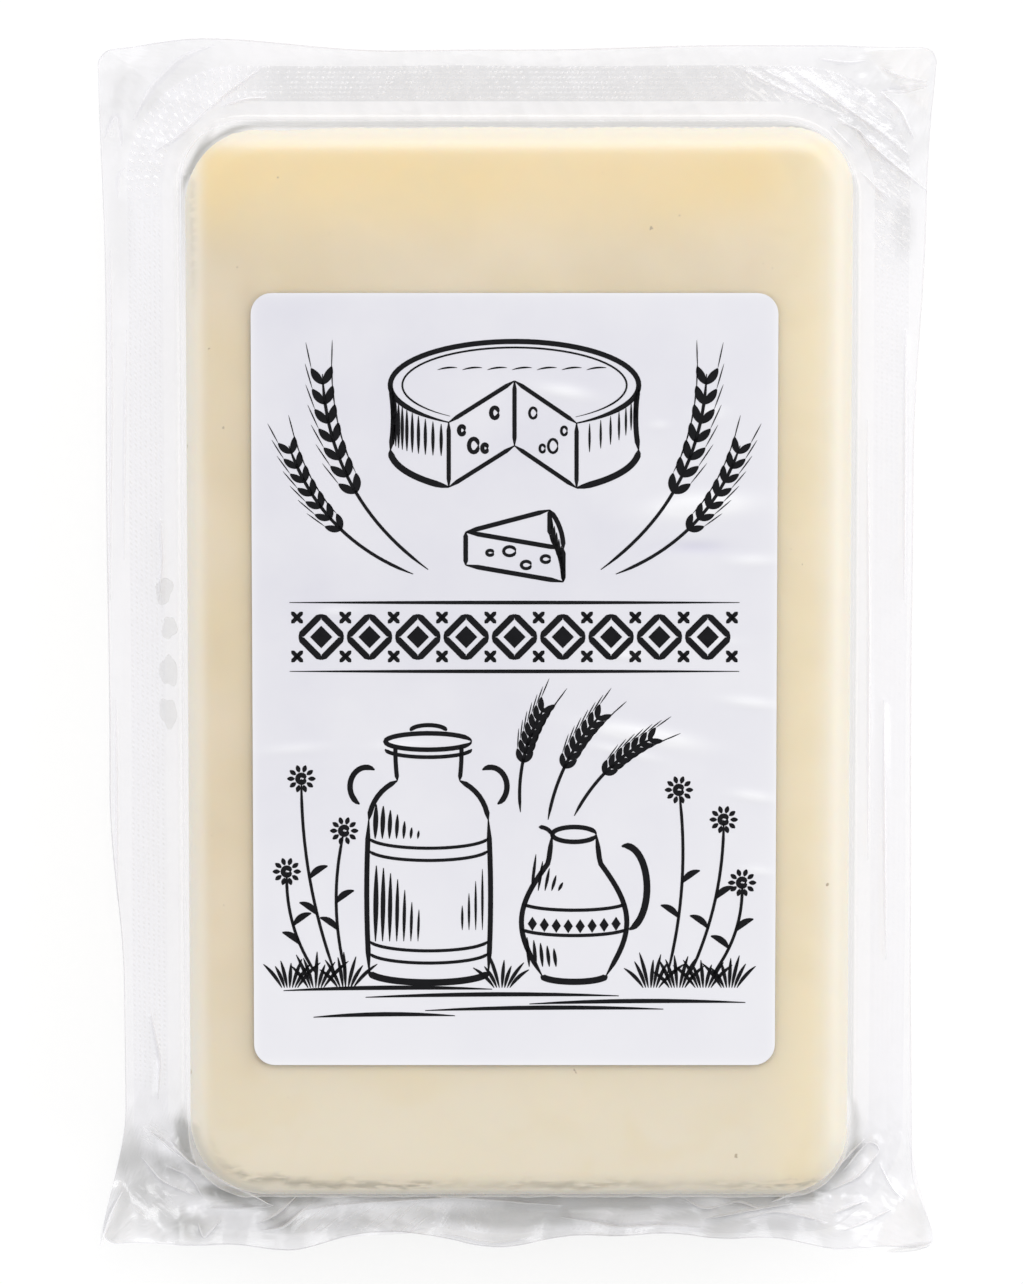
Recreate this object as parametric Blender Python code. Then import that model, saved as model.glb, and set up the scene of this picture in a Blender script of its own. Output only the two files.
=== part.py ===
"""A vacuum-packed block of kashkaval that lies on its back, label up, in metres and with +Z up.

The pack is one closed solid: a clear tray film drawn tight over the block of cheese, a flat lid film behind
it, and the wide flange in which the two films are sealed together all round. The flange waves a little and
its corners curl up. The paper label is a thin plate on the tray's flat face.

The top of the standing pack points along +Y. The origin is under the middle of the flange, on the back face.
"""

import math

import bmesh
import bpy

MM = 0.001

# Block of cheese with the film on it, in millimetres
BLOCK_HALF_X = 44.85
BLOCK_HALF_Y = 72.25
BLOCK_CENTRE_Y = -1.0
BLOCK_HEIGHT = 30.0
CORNER_RADII = (8.5, 6.5, 8.5, 8.5)
FACE_FILLET = 4.0

# Rounded edge of the back as (offset from the block's outline, height), and where the lid film leaves it
BACK_EDGE = ((-1.8, 0.0), (-0.7, 0.35), (0.0, 1.3))
LID_FOLD_OFFSET = 1.9
LID_FOLD_DROP = 0.35

# Tray wall, which leans out from the block towards the flange
WALL_FOOT_OFFSET = 2.2
WALL_LEVELS = (0.0, 0.4, 0.75)
FOLD_OFFSET = 3.1
FOLD_RISE = 1.1

# Flange of the two films, and the pressed seal band in it
FLANGE_HEIGHT = 2.4
FILM_THICKNESS = 0.5
SEAL_OFFSET = 4.9
SEAL_WIDTH = 4.9
SEAL_STEP = 0.3
SEAL_DEPTH = 0.15
SEAL_CORNER_RADIUS = 12.5
SEAL_CORNER_GROWTH = 0.6
EDGE_MARGIN = 0.4

# Trimmed edge of the flange: a nominal rectangle, and how each side runs along it as (along, edge) places
EDGE_HALF_X = 57.0
EDGE_HALF_Y = 84.0
EDGE_CORNER_RADIUS = 2.2
TOP_EDGE = ((-58, 83.1), (-43, 84.8), (-16, 83.2), (42, 84.0), (58, 83.2))
BOTTOM_EDGE = (
    (-58, 84.0), (-32, 85.4), (-17, 82.9), (-5, 85.0),
    (14, 83.4), (30, 83.8), (46, 85.2), (58, 84.2),
)
LEFT_EDGE = ((-84, 58.7), (-66, 55.9), (-48, 55.9), (-20, 57.8), (50, 57.9), (84, 58.5))
RIGHT_EDGE = ((-84, 58.5), (-74, 56.0), (-40, 55.5), (25, 55.4), (62, 57.0), (84, 57.7))

# Waves of the flange as (height, length, place of a crest), and how far its lower end and its corners curl up
TOP_WAVE = (0.8, 34.0, -43.0)
BOTTOM_WAVE = (1.2, 15.5, -17.0)
SIDE_WAVE = (0.7, 58.0, 20.0)
BOTTOM_CURL = 2.6
CORNER_LIFTS = {(1, 1): 4.5, (-1, 1): 2.0, (-1, -1): 4.2, (1, -1): 4.6}

# Steps round one corner and along the sides, the same in every ring
CORNER_STEPS = 7
SHORT_SIDE_STEPS = 24
LONG_SIDE_STEPS = 30
FILLET_STEPS = 4
SMOOTH_BELOW = math.radians(35)

# Paper label
LABEL_SIZE_X = 70.0
LABEL_SIZE_Y = 103.4
LABEL_CENTRE = (-0.6, -2.8)
LABEL_CORNER_RADIUS = 2.8
LABEL_THICKNESS = 0.2
LABEL_GAP = 0.3


def clear_scene():
    for obj in list(bpy.data.objects):
        bpy.data.objects.remove(obj, do_unlink=True)


def make_material(name, colour, roughness):
    material = bpy.data.materials.new(name)
    material.use_nodes = True
    shader = material.node_tree.nodes["Principled BSDF"]
    shader.inputs["Base Color"].default_value = (*colour, 1.0)
    shader.inputs["Roughness"].default_value = roughness
    shader.inputs["Metallic"].default_value = 0.0
    return material


def ramp(value, low, high):
    """0 up to low, 1 from high on, and straight between them."""
    return min(max((value - low) / (high - low), 0.0), 1.0)


def ease(fraction):
    return 0.5 - 0.5 * math.cos(math.pi * fraction)


def along_edge(places, along):
    """The edge's distance out at one place along a side, eased from each given place to the next."""
    for (start, start_out), (end, end_out) in zip(places, places[1:]):
        if along <= end:
            return start_out + (end_out - start_out) * ease(ramp(along, start, end))
    return places[-1][1]


def wave(shape, along):
    height, length, crest = shape
    return height * math.cos(2 * math.pi * (along - crest) / length)


def rounded_rectangle(half_x, half_y, radii):
    """Points anticlockwise round a rounded rectangle. Every ring has the same number in the same order."""
    corners = ((1, 1), (-1, 1), (-1, -1), (1, -1))
    arcs = []
    for turn, ((side_x, side_y), radius) in enumerate(zip(corners, radii)):
        arc = []
        for step in range(CORNER_STEPS + 1):
            angle = math.radians(90 * (turn + step / CORNER_STEPS))
            x = side_x * (half_x - radius) + radius * math.cos(angle)
            y = side_y * (half_y - radius) + radius * math.sin(angle)
            arc.append((x, y))
        arcs.append(arc)
    points = []
    for turn, arc in enumerate(arcs):
        points.extend(arc)
        (x0, y0), (x1, y1) = arc[-1], arcs[(turn + 1) % 4][0]
        steps = SHORT_SIDE_STEPS if turn % 2 == 0 else LONG_SIDE_STEPS
        for step in range(1, steps):
            part = step / steps
            points.append((x0 + (x1 - x0) * part, y0 + (y1 - y0) * part))
    return points


def block_outline(offset):
    """The block's own outline, or one that runs round it at a distance."""
    radii = [radius + offset for radius in CORNER_RADII]
    ring = rounded_rectangle(BLOCK_HALF_X + offset, BLOCK_HALF_Y + offset, radii)
    return [(x, y + BLOCK_CENTRE_Y) for x, y in ring]


def flange_outline():
    """The trimmed edge: a nominal rectangle drawn in and out along each side."""
    ring = rounded_rectangle(EDGE_HALF_X, EDGE_HALF_Y, [EDGE_CORNER_RADIUS] * 4)
    points = []
    for x, y in ring:
        side_out = along_edge(RIGHT_EDGE if x > 0 else LEFT_EDGE, y)
        end_out = along_edge(TOP_EDGE if y > 0 else BOTTOM_EDGE, x)
        points.append((x * side_out / EDGE_HALF_X, y * end_out / EDGE_HALF_Y))
    return points


def held_inside(place, edge, block_half):
    """One coordinate kept off the trimmed edge, on the sides where it points out towards that edge."""
    if abs(edge) < block_half:
        return place
    limit = abs(edge) - EDGE_MARGIN
    return min(max(place, -limit), limit)


def seal_outline(offset, edge):
    """One line of the seal band, with rounder corners the farther out it runs, and inside the edge."""
    radius = SEAL_CORNER_RADIUS + SEAL_CORNER_GROWTH * (offset - SEAL_OFFSET)
    ring = rounded_rectangle(BLOCK_HALF_X + offset, BLOCK_HALF_Y + offset, [radius] * 4)
    points = []
    for (x, y), (edge_x, edge_y) in zip(ring, edge):
        inside_x = held_inside(x, edge_x, BLOCK_HALF_X)
        inside_y = held_inside(y + BLOCK_CENTRE_Y, edge_y, BLOCK_HALF_Y)
        points.append((inside_x, inside_y))
    return points


def flange_underside(x, y):
    """Height of the flange: waves that grow towards its edge, a curled lower end and curled corners."""
    out_x = ramp(abs(x), BLOCK_HALF_X + FOLD_OFFSET, EDGE_HALF_X)
    out_y = ramp(abs(y - BLOCK_CENTRE_Y), BLOCK_HALF_Y + FOLD_OFFSET, EDGE_HALF_Y)
    end_wave = wave(TOP_WAVE, x) if y > 0 else wave(BOTTOM_WAVE, x) + BOTTOM_CURL
    side_wave = wave(SIDE_WAVE, y)
    corner = (1 if x > 0 else -1, 1 if y > 0 else -1)
    curl = CORNER_LIFTS[corner] * max(out_x + out_y - 1.0, 0.0)
    return FLANGE_HEIGHT + end_wave * ease(out_y) + side_wave * ease(out_x) + curl


def level_ring(outline, height):
    return [(x, y, height) for x, y in outline]


def flange_ring(outline, rise):
    return [(x, y, flange_underside(x, y) + rise) for x, y in outline]


def back_rings():
    """The flat back, its rounded edge and the lid film's way out to the flange."""
    rings = [level_ring(block_outline(offset), height) for offset, height in BACK_EDGE]
    rings.append(flange_ring(block_outline(LID_FOLD_OFFSET), -LID_FOLD_DROP))
    return rings


def flange_rings():
    """The flange from its fold out under the seal to the trimmed edge, and back over the pressed band."""
    edge = flange_outline()
    fold = block_outline(FOLD_OFFSET)
    seal_in = seal_outline(SEAL_OFFSET, edge)
    press_in = seal_outline(SEAL_OFFSET + SEAL_STEP, edge)
    seal_middle = seal_outline(SEAL_OFFSET + 0.5 * SEAL_WIDTH, edge)
    press_out = seal_outline(SEAL_OFFSET + SEAL_WIDTH - SEAL_STEP, edge)
    seal_out = seal_outline(SEAL_OFFSET + SEAL_WIDTH, edge)
    pressed = FILM_THICKNESS - SEAL_DEPTH
    return [
        flange_ring(fold, 0.0),
        flange_ring(seal_in, 0.0),
        flange_ring(seal_middle, 0.0),
        flange_ring(press_out, 0.0),
        flange_ring(edge, 0.0),
        flange_ring(edge, FILM_THICKNESS),
        flange_ring(seal_out, FILM_THICKNESS),
        flange_ring(press_out, pressed),
        flange_ring(seal_middle, pressed),
        flange_ring(press_in, pressed),
        flange_ring(seal_in, FILM_THICKNESS),
        flange_ring(fold, FILM_THICKNESS),
    ]


def wall_rings():
    """The leaning tray wall and the fillet into the flat face."""
    foot = FLANGE_HEIGHT + FILM_THICKNESS + FOLD_RISE
    shoulder = BLOCK_HEIGHT - FACE_FILLET
    rings = []
    for level in WALL_LEVELS:
        offset = WALL_FOOT_OFFSET * (1 - level)
        rings.append(level_ring(block_outline(offset), foot + (shoulder - foot) * level))
    for step in range(FILLET_STEPS + 1):
        angle = math.radians(90 * step / FILLET_STEPS)
        offset = -FACE_FILLET * (1 - math.cos(angle))
        rings.append(level_ring(block_outline(offset), shoulder + FACE_FILLET * math.sin(angle)))
    return rings


def make_pack(collection):
    """Loft through all rings, from the back's rim out over the flange and up to the face."""
    rings = back_rings() + flange_rings() + wall_rings()
    bm = bmesh.new()
    loops = []
    for ring in rings:
        loops.append([bm.verts.new((x * MM, y * MM, z * MM)) for x, y, z in ring])
    count = len(loops[0])
    for lower, upper in zip(loops, loops[1:]):
        for i in range(count):
            j = (i + 1) % count
            bm.faces.new((lower[i], lower[j], upper[j], upper[i]))
    bm.faces.new(list(reversed(loops[0])))
    bm.faces.new(loops[-1])
    mesh = bpy.data.meshes.new("cheese_pack")
    bm.to_mesh(mesh)
    bm.free()
    mesh.shade_smooth()
    mesh.set_sharp_from_angle(angle=SMOOTH_BELOW)
    pack = bpy.data.objects.new("cheese_pack", mesh)
    pack.data.materials.append(make_material("cheese_under_film", (0.78, 0.68, 0.46), 0.25))
    collection.objects.link(pack)


def make_label(collection):
    """A flat plate with rounded corners, just clear of the tray's face."""
    curve = bpy.data.curves.new("label", type="CURVE")
    curve.dimensions = "2D"
    curve.fill_mode = "BOTH"
    curve.extrude = 0.5 * LABEL_THICKNESS * MM
    outline = []
    for turn, (side_x, side_y) in enumerate(((1, 1), (-1, 1), (-1, -1), (1, -1))):
        for step in range(CORNER_STEPS + 1):
            angle = math.radians(90 * (turn + step / CORNER_STEPS))
            x = side_x * (0.5 * LABEL_SIZE_X - LABEL_CORNER_RADIUS) + LABEL_CORNER_RADIUS * math.cos(angle)
            y = side_y * (0.5 * LABEL_SIZE_Y - LABEL_CORNER_RADIUS) + LABEL_CORNER_RADIUS * math.sin(angle)
            outline.append((x, y))
    spline = curve.splines.new("POLY")
    spline.points.add(len(outline) - 1)
    for point, (x, y) in zip(spline.points, outline):
        point.co = (x * MM, y * MM, 0.0, 1.0)
    spline.use_cyclic_u = True
    label = bpy.data.objects.new("label", curve)
    height = BLOCK_HEIGHT + LABEL_GAP + 0.5 * LABEL_THICKNESS
    label.location = (LABEL_CENTRE[0] * MM, LABEL_CENTRE[1] * MM, height * MM)
    label.data.materials.append(make_material("label_paper", (0.79, 0.78, 0.83), 0.5))
    collection.objects.link(label)


def main():
    clear_scene()
    collection = bpy.data.collections.new("kashkaval_vacuum_pack")
    bpy.context.scene.collection.children.link(collection)
    make_pack(collection)
    make_label(collection)


main()
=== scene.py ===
"""A vacuum-packed block of kashkaval on a white floor, seen from above as it lies on its back."""

import math

import bpy
import numpy as np
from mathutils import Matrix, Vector


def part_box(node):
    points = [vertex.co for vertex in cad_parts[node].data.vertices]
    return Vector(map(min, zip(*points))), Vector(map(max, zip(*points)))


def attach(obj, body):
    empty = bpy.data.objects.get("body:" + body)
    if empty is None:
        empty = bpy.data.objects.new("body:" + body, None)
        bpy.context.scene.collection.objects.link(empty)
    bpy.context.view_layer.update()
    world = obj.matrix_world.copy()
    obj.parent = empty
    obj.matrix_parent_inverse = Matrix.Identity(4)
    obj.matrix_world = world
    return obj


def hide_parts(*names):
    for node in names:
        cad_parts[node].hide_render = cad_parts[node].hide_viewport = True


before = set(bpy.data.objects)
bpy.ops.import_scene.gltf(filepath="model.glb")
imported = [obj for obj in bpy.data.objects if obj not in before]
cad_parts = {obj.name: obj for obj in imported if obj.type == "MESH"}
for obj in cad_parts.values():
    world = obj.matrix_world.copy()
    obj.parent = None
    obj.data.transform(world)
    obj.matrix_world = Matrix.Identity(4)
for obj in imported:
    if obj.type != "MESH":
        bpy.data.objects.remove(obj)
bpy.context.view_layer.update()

MM = 0.001

# The pack's solid in millimetres, measured from the frame
FACE_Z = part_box("cheese_pack")[1][2] / MM
LABEL_LOW, LABEL_HIGH = [np.array(corner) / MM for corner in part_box("label")]
LABEL_CENTRE = 0.5 * (LABEL_LOW + LABEL_HIGH)
LABEL_HALF = 0.5 * (LABEL_HIGH - LABEL_LOW)

# Block of cheese, in millimetres; flat faces close with rings that stop just short of their middle line
BLOCK_HALF = (44.85, 72.25)
BLOCK_CENTRE_Y = -1.0
CORNER_RADII = (8.5, 6.5, 8.5, 8.5)
SHOWN_CORNER = 9.0
CHEESE_CORNER_RADII = (8.5, 10.6, 10.6, 9.2)
FACE_FILLET = 4.0
BACK_FILLET = 2.2
FILM_GAP = 0.25
CHEESE_BACK_Z = 0.35
CHEESE_FOOT_OFFSET = 0.5
TO_MIDDLE = BLOCK_HALF[0] - 0.02

# Tones of the cheese's face as (strength, distance from its side where they are full, width of their fade):
# painted highlights along the rim, painted warm light towards the top end and the right side, a paler lower
# end, painted shade on the lower edge, the lower left corner and the left side, painted shade in the film's
# wrinkles along the lower edge, and olive blots by the left side
RIM_HIGHLIGHT = ((0.85, 1.0, 3.8), (0.75, 1.6, 5.0), (0.8, 0.6, 3.6), (0.45, 0.0, 4.0))
TOP_GLOW = (1.0, 6.5, 13.0)
RIGHT_GLOW = (0.9, 4.0, 11.0)
PALE_FOOT = (1.0, 6.0, 34.0)
DARK_FOOT = (0.8, 0.7, 0.7)
DARK_CORNER = (0.6, 0.8, 1.6)
DARK_LEFT = (0.2, 0.3, 1.0)
WRINKLE_SHADE_LINE = (1.0, 0.0, 0.95)
OLIVE_BLOTS = (0.3, 0.0, 0.8)

# Tray wall, flange, seal band and label
WALL_FOOT_OFFSET = 2.2
FOLD_OFFSET = 3.1
FOLD_RISE = 1.1
FLANGE_HEIGHT = 2.4
TRAY_RISE = 0.38
LID_RISE = 0.12
LID_Z = 0.06
SEAL_OFFSET = 4.9
SEAL_WIDTH = 4.9
SEAL_CORNER_RADIUS = 12.5
EDGE_MARGIN = 0.4
KNURL_HEIGHT = 0.08
EDGE_BEAD = 0.085
INK_RISE = 0.03
LABEL_CORNER_RADIUS = 2.8
LABEL_EDGE = 0.05
CRINKLE_SHARE = 2.2
LABEL_DEPTH = 0.34

# Trimmed edge: a nominal rectangle, and how each side runs along it as (along, edge) places
EDGE_HALF = (57.0, 84.0)
EDGE_CORNER_RADIUS = 2.2
TOP_EDGE = ((-58, 83.1), (-43, 84.8), (-16, 83.2), (42, 84.0), (58, 83.2))
BOTTOM_EDGE = (
    (-58, 84.0), (-32, 85.4), (-17, 82.9), (-5, 85.0),
    (14, 83.4), (30, 83.8), (46, 85.2), (58, 84.2),
)
LEFT_EDGE = ((-84, 58.7), (-66, 55.9), (-48, 55.9), (-20, 57.8), (50, 57.9), (84, 58.5))
RIGHT_EDGE = ((-84, 58.5), (-74, 56.0), (-40, 55.5), (25, 55.4), (62, 57.0), (84, 57.7))

# Waves of the flange as (height, length, place of a crest), its curled lower end and its curled corners
TOP_WAVE = (0.8, 34.0, -43.0)
BOTTOM_WAVE = (1.2, 15.5, -17.0)
SIDE_WAVE = (0.7, 58.0, 20.0)
BOTTOM_CURL = 2.6
CORNER_LIFTS = ((1, 1, 4.5), (-1, 1, 2.0), (-1, -1, 4.2), (1, -1, 4.6))

# Creases of the film as (width, height, chain of places).
# The film carries painted shade on the right of each one's run and a painted highlight on the left.
CREASES = (
    (0.8, 0.2, ((43.5, 72.8), (45.2, 71.0), (46.9, 69.4))),
    (0.9, 0.4, ((44.2, 73.5), (47.4, 72.3), (50.2, 69.1), (53.5, 66.5), (57.0, 63.7))),
    (0.7, 0.2, ((31.2, 80.6), (36.1, 78.1), (41.0, 75.9))),
    (0.7, 0.2, ((34.1, 80.6), (38.8, 78.2), (42.8, 75.5))),
    (0.8, 0.3, ((39.2, 79.9), (46.2, 74.9), (50.9, 71.6), (54.6, 68.5))),
    (1.4, 0.3, ((56.7, 78.0), (53.4, 77.4), (50.3, 77.5))),
    (1.2, 0.35, ((50.3, 77.5), (53.1, 75.2), (55.1, 70.9))),
    (1.0, 0.25, ((50.7, 80.7), (52.7, 79.5), (56.6, 78.6))),
    (0.9, 0.25, ((47.3, 72.3), (49.3, 69.4))),
    (0.8, 0.25, ((47.6, 66.6), (51.5, 62.6))),
    (0.8, 0.15, ((41.9, 82.1), (46.1, 81.5), (48.3, 81.8))),
    (1.6, 0.12, ((-53.7, 73.5), (-51.3, 78.2), (-47.1, 82.2), (-42.4, 83.9))),
    (1.0, 0.25, ((-43.6, 74.8), (-40.8, 77.3), (-36.0, 80.6))),
    (0.8, 0.2, ((-50.6, 69.2), (-46.9, 71.7), (-43.6, 74.8))),
    (0.8, 0.25, ((-41.3, 75.5), (-37.8, 76.6), (-35.2, 76.6))),
    (1.0, 0.15, ((-55.3, 69.9), (-56.0, 74.6), (-57.7, 71.0))),
    (0.8, 0.12, ((-54.9, 66.9), (-55.7, 66.5), (-56.0, 62.9))),
    (0.8, 0.3, ((-57.1, 55.5), (-57.0, 31.8), (-57.4, 6.5))),
    (0.7, 0.2, ((-54.9, 44.4), (-55.4, 12.2))),
    (0.8, 0.3, ((-56.8, -7.6), (-56.6, -35.9))),
    (0.7, 0.3, ((-50.3, 17.8), (-50.0, 12.2), (-50.6, 6.5))),
    (0.8, 0.4, ((-52.2, -51.6), (-50.8, -58.8), (-51.2, -64.5))),
    (1.2, 1.1, ((-34.8, -79.5), (-38.6, -77.6), (-41.6, -76.3), (-46.1, -73.6), (-49.5, -70.4))),
    (0.9, 0.6, ((-45.7, -74.0), (-49.5, -71.4), (-52.9, -68.7))),
    (0.9, 0.6, ((-35.1, -79.5), (-39.6, -80.0), (-44.4, -79.8))),
    (0.9, 0.6, ((-45.4, -81.8), (-44.5, -83.8))),
    (0.9, 0.6, ((-44.5, -83.8), (-42.3, -81.5))),
    (1.2, 0.8, ((-56.4, -77.7), (-57.8, -80.6), (-58.8, -84.1))),
    (1.1, 0.7, ((-37.1, -81.9), (-34.3, -80.6), (-31.6, -78.3))),
    (1.2, 0.8, ((-30.2, -79.6), (-33.1, -82.1), (-36.5, -82.8))),
    (0.8, 0.4, ((-50.1, -74.0), (-46.7, -75.4), (-44.9, -78.5))),
    (0.8, 0.4, ((-53.8, -72.7), (-51.0, -76.0), (-45.9, -78.3))),
    (0.9, 0.6, ((5.9, -79.6), (-2.6, -78.8), (-10.6, -78.5), (-20.4, -79.0), (-30.2, -80.0))),
    (1.0, 0.5, ((25.8, -82.4), (14.4, -82.1), (5.9, -81.2))),
    (0.8, 0.4, ((-11.2, -83.5), (-4.6, -84.4), (1.6, -83.7))),
    (0.9, 0.6, ((23.8, -78.8), (26.2, -80.0), (28.8, -79.5))),
    (0.9, 0.6, ((28.8, -79.5), (31.2, -78.8), (34.3, -79.9))),
    (0.9, 0.7, ((25.8, -81.2), (32.9, -80.0), (38.9, -79.3))),
    (0.9, 0.8, ((39.6, -77.7), (37.9, -78.2), (36.0, -79.0))),
    (0.9, 0.6, ((49.5, -70.7), (47.9, -72.4), (46.0, -74.7))),
    (1.0, 0.7, ((44.4, -77.5), (48.4, -75.3), (51.3, -72.0))),
    (0.8, 0.5, ((49.5, -70.7), (50.9, -70.4), (51.3, -72.0))),
    (0.9, 0.7, ((44.4, -80.5), (46.8, -79.6), (49.4, -78.9))),
    (1.0, 0.6, ((45.7, -82.6), (49.6, -81.6), (53.2, -79.9))),
    (1.2, 0.8, ((58.4, -83.2), (55.4, -84.7), (52.1, -85.5))),
    (0.9, 0.5, ((31.5, -81.2), (36.0, -80.3), (39.9, -80.8), (43.6, -81.6))),
    (0.9, 0.5, ((43.0, -76.3), (46.0, -73.3), (49.3, -70.0))),
    (0.8, 0.4, ((51.4, -73.9), (53.2, -77.5), (54.9, -78.9))),
    (0.8, 0.25, ((48.9, 31.8), (49.4, 0.9), (49.4, -30.2))),
    (0.8, 0.25, ((54.2, 44.4), (54.2, 6.5))),
    (0.8, 0.25, ((51.5, -7.6), (52.0, -44.5))),
)

# Soft places of painted shade on the film, or of painted highlight where the strength is below zero, as (x,
# y, half length, half width, slant, strength)
FILM_TONES = (
    (-46.1, -70.4, 4.2, 1.4, -46, 0.8),
    (-39.9, -78.5, 5.0, 1.2, -14, 1.0),
    (-49.2, -74.1, 4.8, 1.5, -24, 0.4),
    (-52.4, -75.6, 6.5, 4.0, -20, 0.42),
    (-47.3, -81.8, 3.9, 1.7, -18, 0.42),
    (-33.9, -80.9, 3.1, 1.5, -38, 0.6),
    (-42.0, -82.6, 10.0, 2.4, 0, 0.26),
    (-55.9, -71.7, 2.8, 4.2, 0, 0.3),
    (-53.0, -80.0, 5.0, 3.0, -20, 0.3),
    (-57.3, -82.5, 1.1, 2.5, -20, 0.35),
    (-31.1, -78.5, 3.7, 1.0, 0, 0.9),
    (-20.4, -78.0, 11.3, 0.6, 0, 0.6),
    (10.2, -79.2, 15.5, 1.1, 0, 0.75),
    (0.2, -81.1, 12.7, 1.7, 0, 0.5),
    (24.4, -80.6, 8.5, 1.4, 0, 0.45),
    (34.3, -79.0, 4.8, 1.3, 0, 0.7),
    (-16.9, -81.2, 11.3, 1.4, 0, 0.2),
    (0.0, -81.6, 17.0, 2.6, 0, 0.25),
    (0.2, -84.1, 8.5, 0.8, 0, 0.2),
    (31.5, -82.6, 8.5, 1.4, 0, 0.25),
    (-25.4, -82.4, 8.5, 1.7, 0, 0.3),
    (46.0, -74.3, 5.6, 1.7, 48, 0.6),
    (40.9, -78.3, 3.4, 1.1, 20, 0.55),
    (56.8, -80.6, 1.7, 2.8, -20, 0.2),
    (50.0, -80.6, 4.2, 1.4, 15, -0.25),
    (40.0, -82.5, 5.6, 1.7, 0, 0.2),
    (53.5, 76.0, 3.1, 1.3, -20, -0.2),
    (55.4, 73.3, 1.4, 2.8, 0, -0.3),
    (52.4, 79.9, 2.8, 0.7, -15, -0.2),
    (45.9, 73.8, 6.2, 1.4, -34, 0.12),
    (53.9, 58.6, 1.7, 4.2, 0, 0.25),
    (48.3, 70.8, 2.8, 0.8, -40, -0.15),
    (-56.7, 72.1, 1.3, 2.5, 0, -0.45),
    (-55.5, 64.8, 0.8, 2.0, 0, -0.35),
    (-51.4, 75.6, 6.2, 1.1, 50, 0.12),
    (-55.2, 77.7, 2.8, 3.7, 0, 0.12),
    (-45.0, 68.3, 4.8, 0.8, 62, 0.55),
    (-55.7, 57.6, 2.0, 8.5, 0, 0.12),
)

# Coarsely knurled places in the lower left corner, in the same form
KNURLED_PLACES = (
    (-52.0, -69.6, 1.9, 1.6, 0, 1.0),
    (-52.0, -79.3, 3.6, 2.2, -20, 1.0),
)

# Crumpled places as (x, y, radius, height, seed), and the sizes of their facets
CRUMPLE_SIZES = (9.0, 6.0, 4.2, 3.0, 2.0)
CRUMPLES = (
    (52.0, 74.0, 11.0, 0.4, 3),
    (-50.0, -78.0, 13.0, 0.5, 5),
    (49.0, -78.0, 13.0, 0.5, 8),
    (0.0, -82.0, 46.0, 0.25, 13),
    (-50.0, 74.0, 11.0, 0.25, 17),
)

# Places where the flat facets of the film get painted shade of differing depth, as (x, y, radius, strength,
# seed), and their sizes
FACET_SIZES = (11.0, 7.0, 4.5, 2.6)
FACET_TONES = (
    (-50.0, -77.0, 15.0, 0.25, 31),
    (47.0, -79.0, 15.0, 0.16, 32),
    (52.0, 74.0, 13.0, 0.16, 33),
    (-51.0, 76.0, 13.0, 0.14, 34),
    (-22.0, -81.0, 18.0, 0.28, 35),
    (20.0, -81.0, 22.0, 0.28, 36),
    (0.0, 80.0, 45.0, 0.12, 39),
)

# Crinkles of the label as (middle x, middle y, half length, half width, height, slant in degrees)
LABEL_CRINKLES = (
    (6.0, 35.8, 3.4, 0.8, 0.09, -9),
    (25.4, 33.0, 2.0, 0.9, 0.06, 0),
    (18.6, 31.4, 1.2, 0.5, 0.05, 0),
    (24.2, 20.6, 6.2, 1.5, 0.15, 4),
    (23.6, 15.2, 4.0, 0.9, -0.07, 0),
    (-24.4, 6.6, 2.6, 0.6, 0.06, 2),
    (13.6, 0.8, 2.6, 0.6, 0.07, -4),
    (25.8, 2.6, 3.4, 0.5, 0.05, 0),
    (16.6, -10.0, 6.6, 1.1, 0.14, -10),
    (14.0, -12.2, 4.2, 0.6, 0.07, -12),
    (31.0, -5.6, 3.4, 0.6, 0.08, -6),
    (31.4, -18.2, 2.6, 0.6, 0.08, -8),
    (32.0, -28.2, 2.0, 0.5, 0.06, -6),
    (-15.8, -11.4, 3.4, 0.7, 0.06, 2),
    (31.0, 13.4, 3.0, 0.7, 0.07, 0),
    (-30.0, -11.8, 4.0, 0.6, 0.05, 4),
)

# Whey between the films beside the block as (x, y, half width, half length)
WHEY_DROPS = (
    (-49.9, 7.8, 1.2, 1.9),
    (-49.2, 2.6, 1.0, 1.7),
    (-49.3, -3.5, 1.2, 2.3),
    (-49.4, -9.4, 1.25, 2.1),
)

# Parts of the seal band's foot, ribbed one way, ribbed the other way and plain.
# Each is (start, full), (full, end) along X.
RIBS = ((-34.0, -30.0), (-14.0, -11.0))
BACK_RIBS = ((-13.0, -11.0), (-5.0, -2.0))
PLAIN_FOOT = ((-3.0, 0.0), (20.0, 26.0))

# Finely knurled stretches of the band, as (strength, full up to, width of the fade) from the middle lines
SIDE_BAND = (1.0, 58.0, 8.0)
TOP_BAND = (1.0, 38.0, 6.0)

# Shade behind the block's lower end and in the gap below it, as (strength, full up to, width of the fade)
UNDER_FOOT = (1.0, 3.0, 5.0)
ALONG_FOOT = (1.0, 34.0, 8.0)
ALONG_GAP = (1.0, 39.0, 8.0)
GAP_Y = -77.6
GAP_WIDTH = 1.1

# The lid film's rise from the flat back to the flange, as distances past the block and heights there
LID_BEND = ((-0.7, 0.3, 1.2, 2.3, 2.8), (0.3, 0.9, 1.5, 1.95, 2.2))

# Colours of the films and the light, and the slanting strokes pressed into the film, in metres
WHITE = (1.0, 1.0, 1.0, 1.0)
MILKY_FILM = (0.95, 0.95, 0.975, 1.0)
SHADED_FILM = (0.5, 0.5, 0.49)
STROKE_TURN = (0.0, 0.0, math.radians(-37.0))
STROKE_SIZE = (0.0017, 0.00042, 0.01)

# Half the floor's side, in millimetres
FLOOR_HALF = 3000.0

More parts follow.
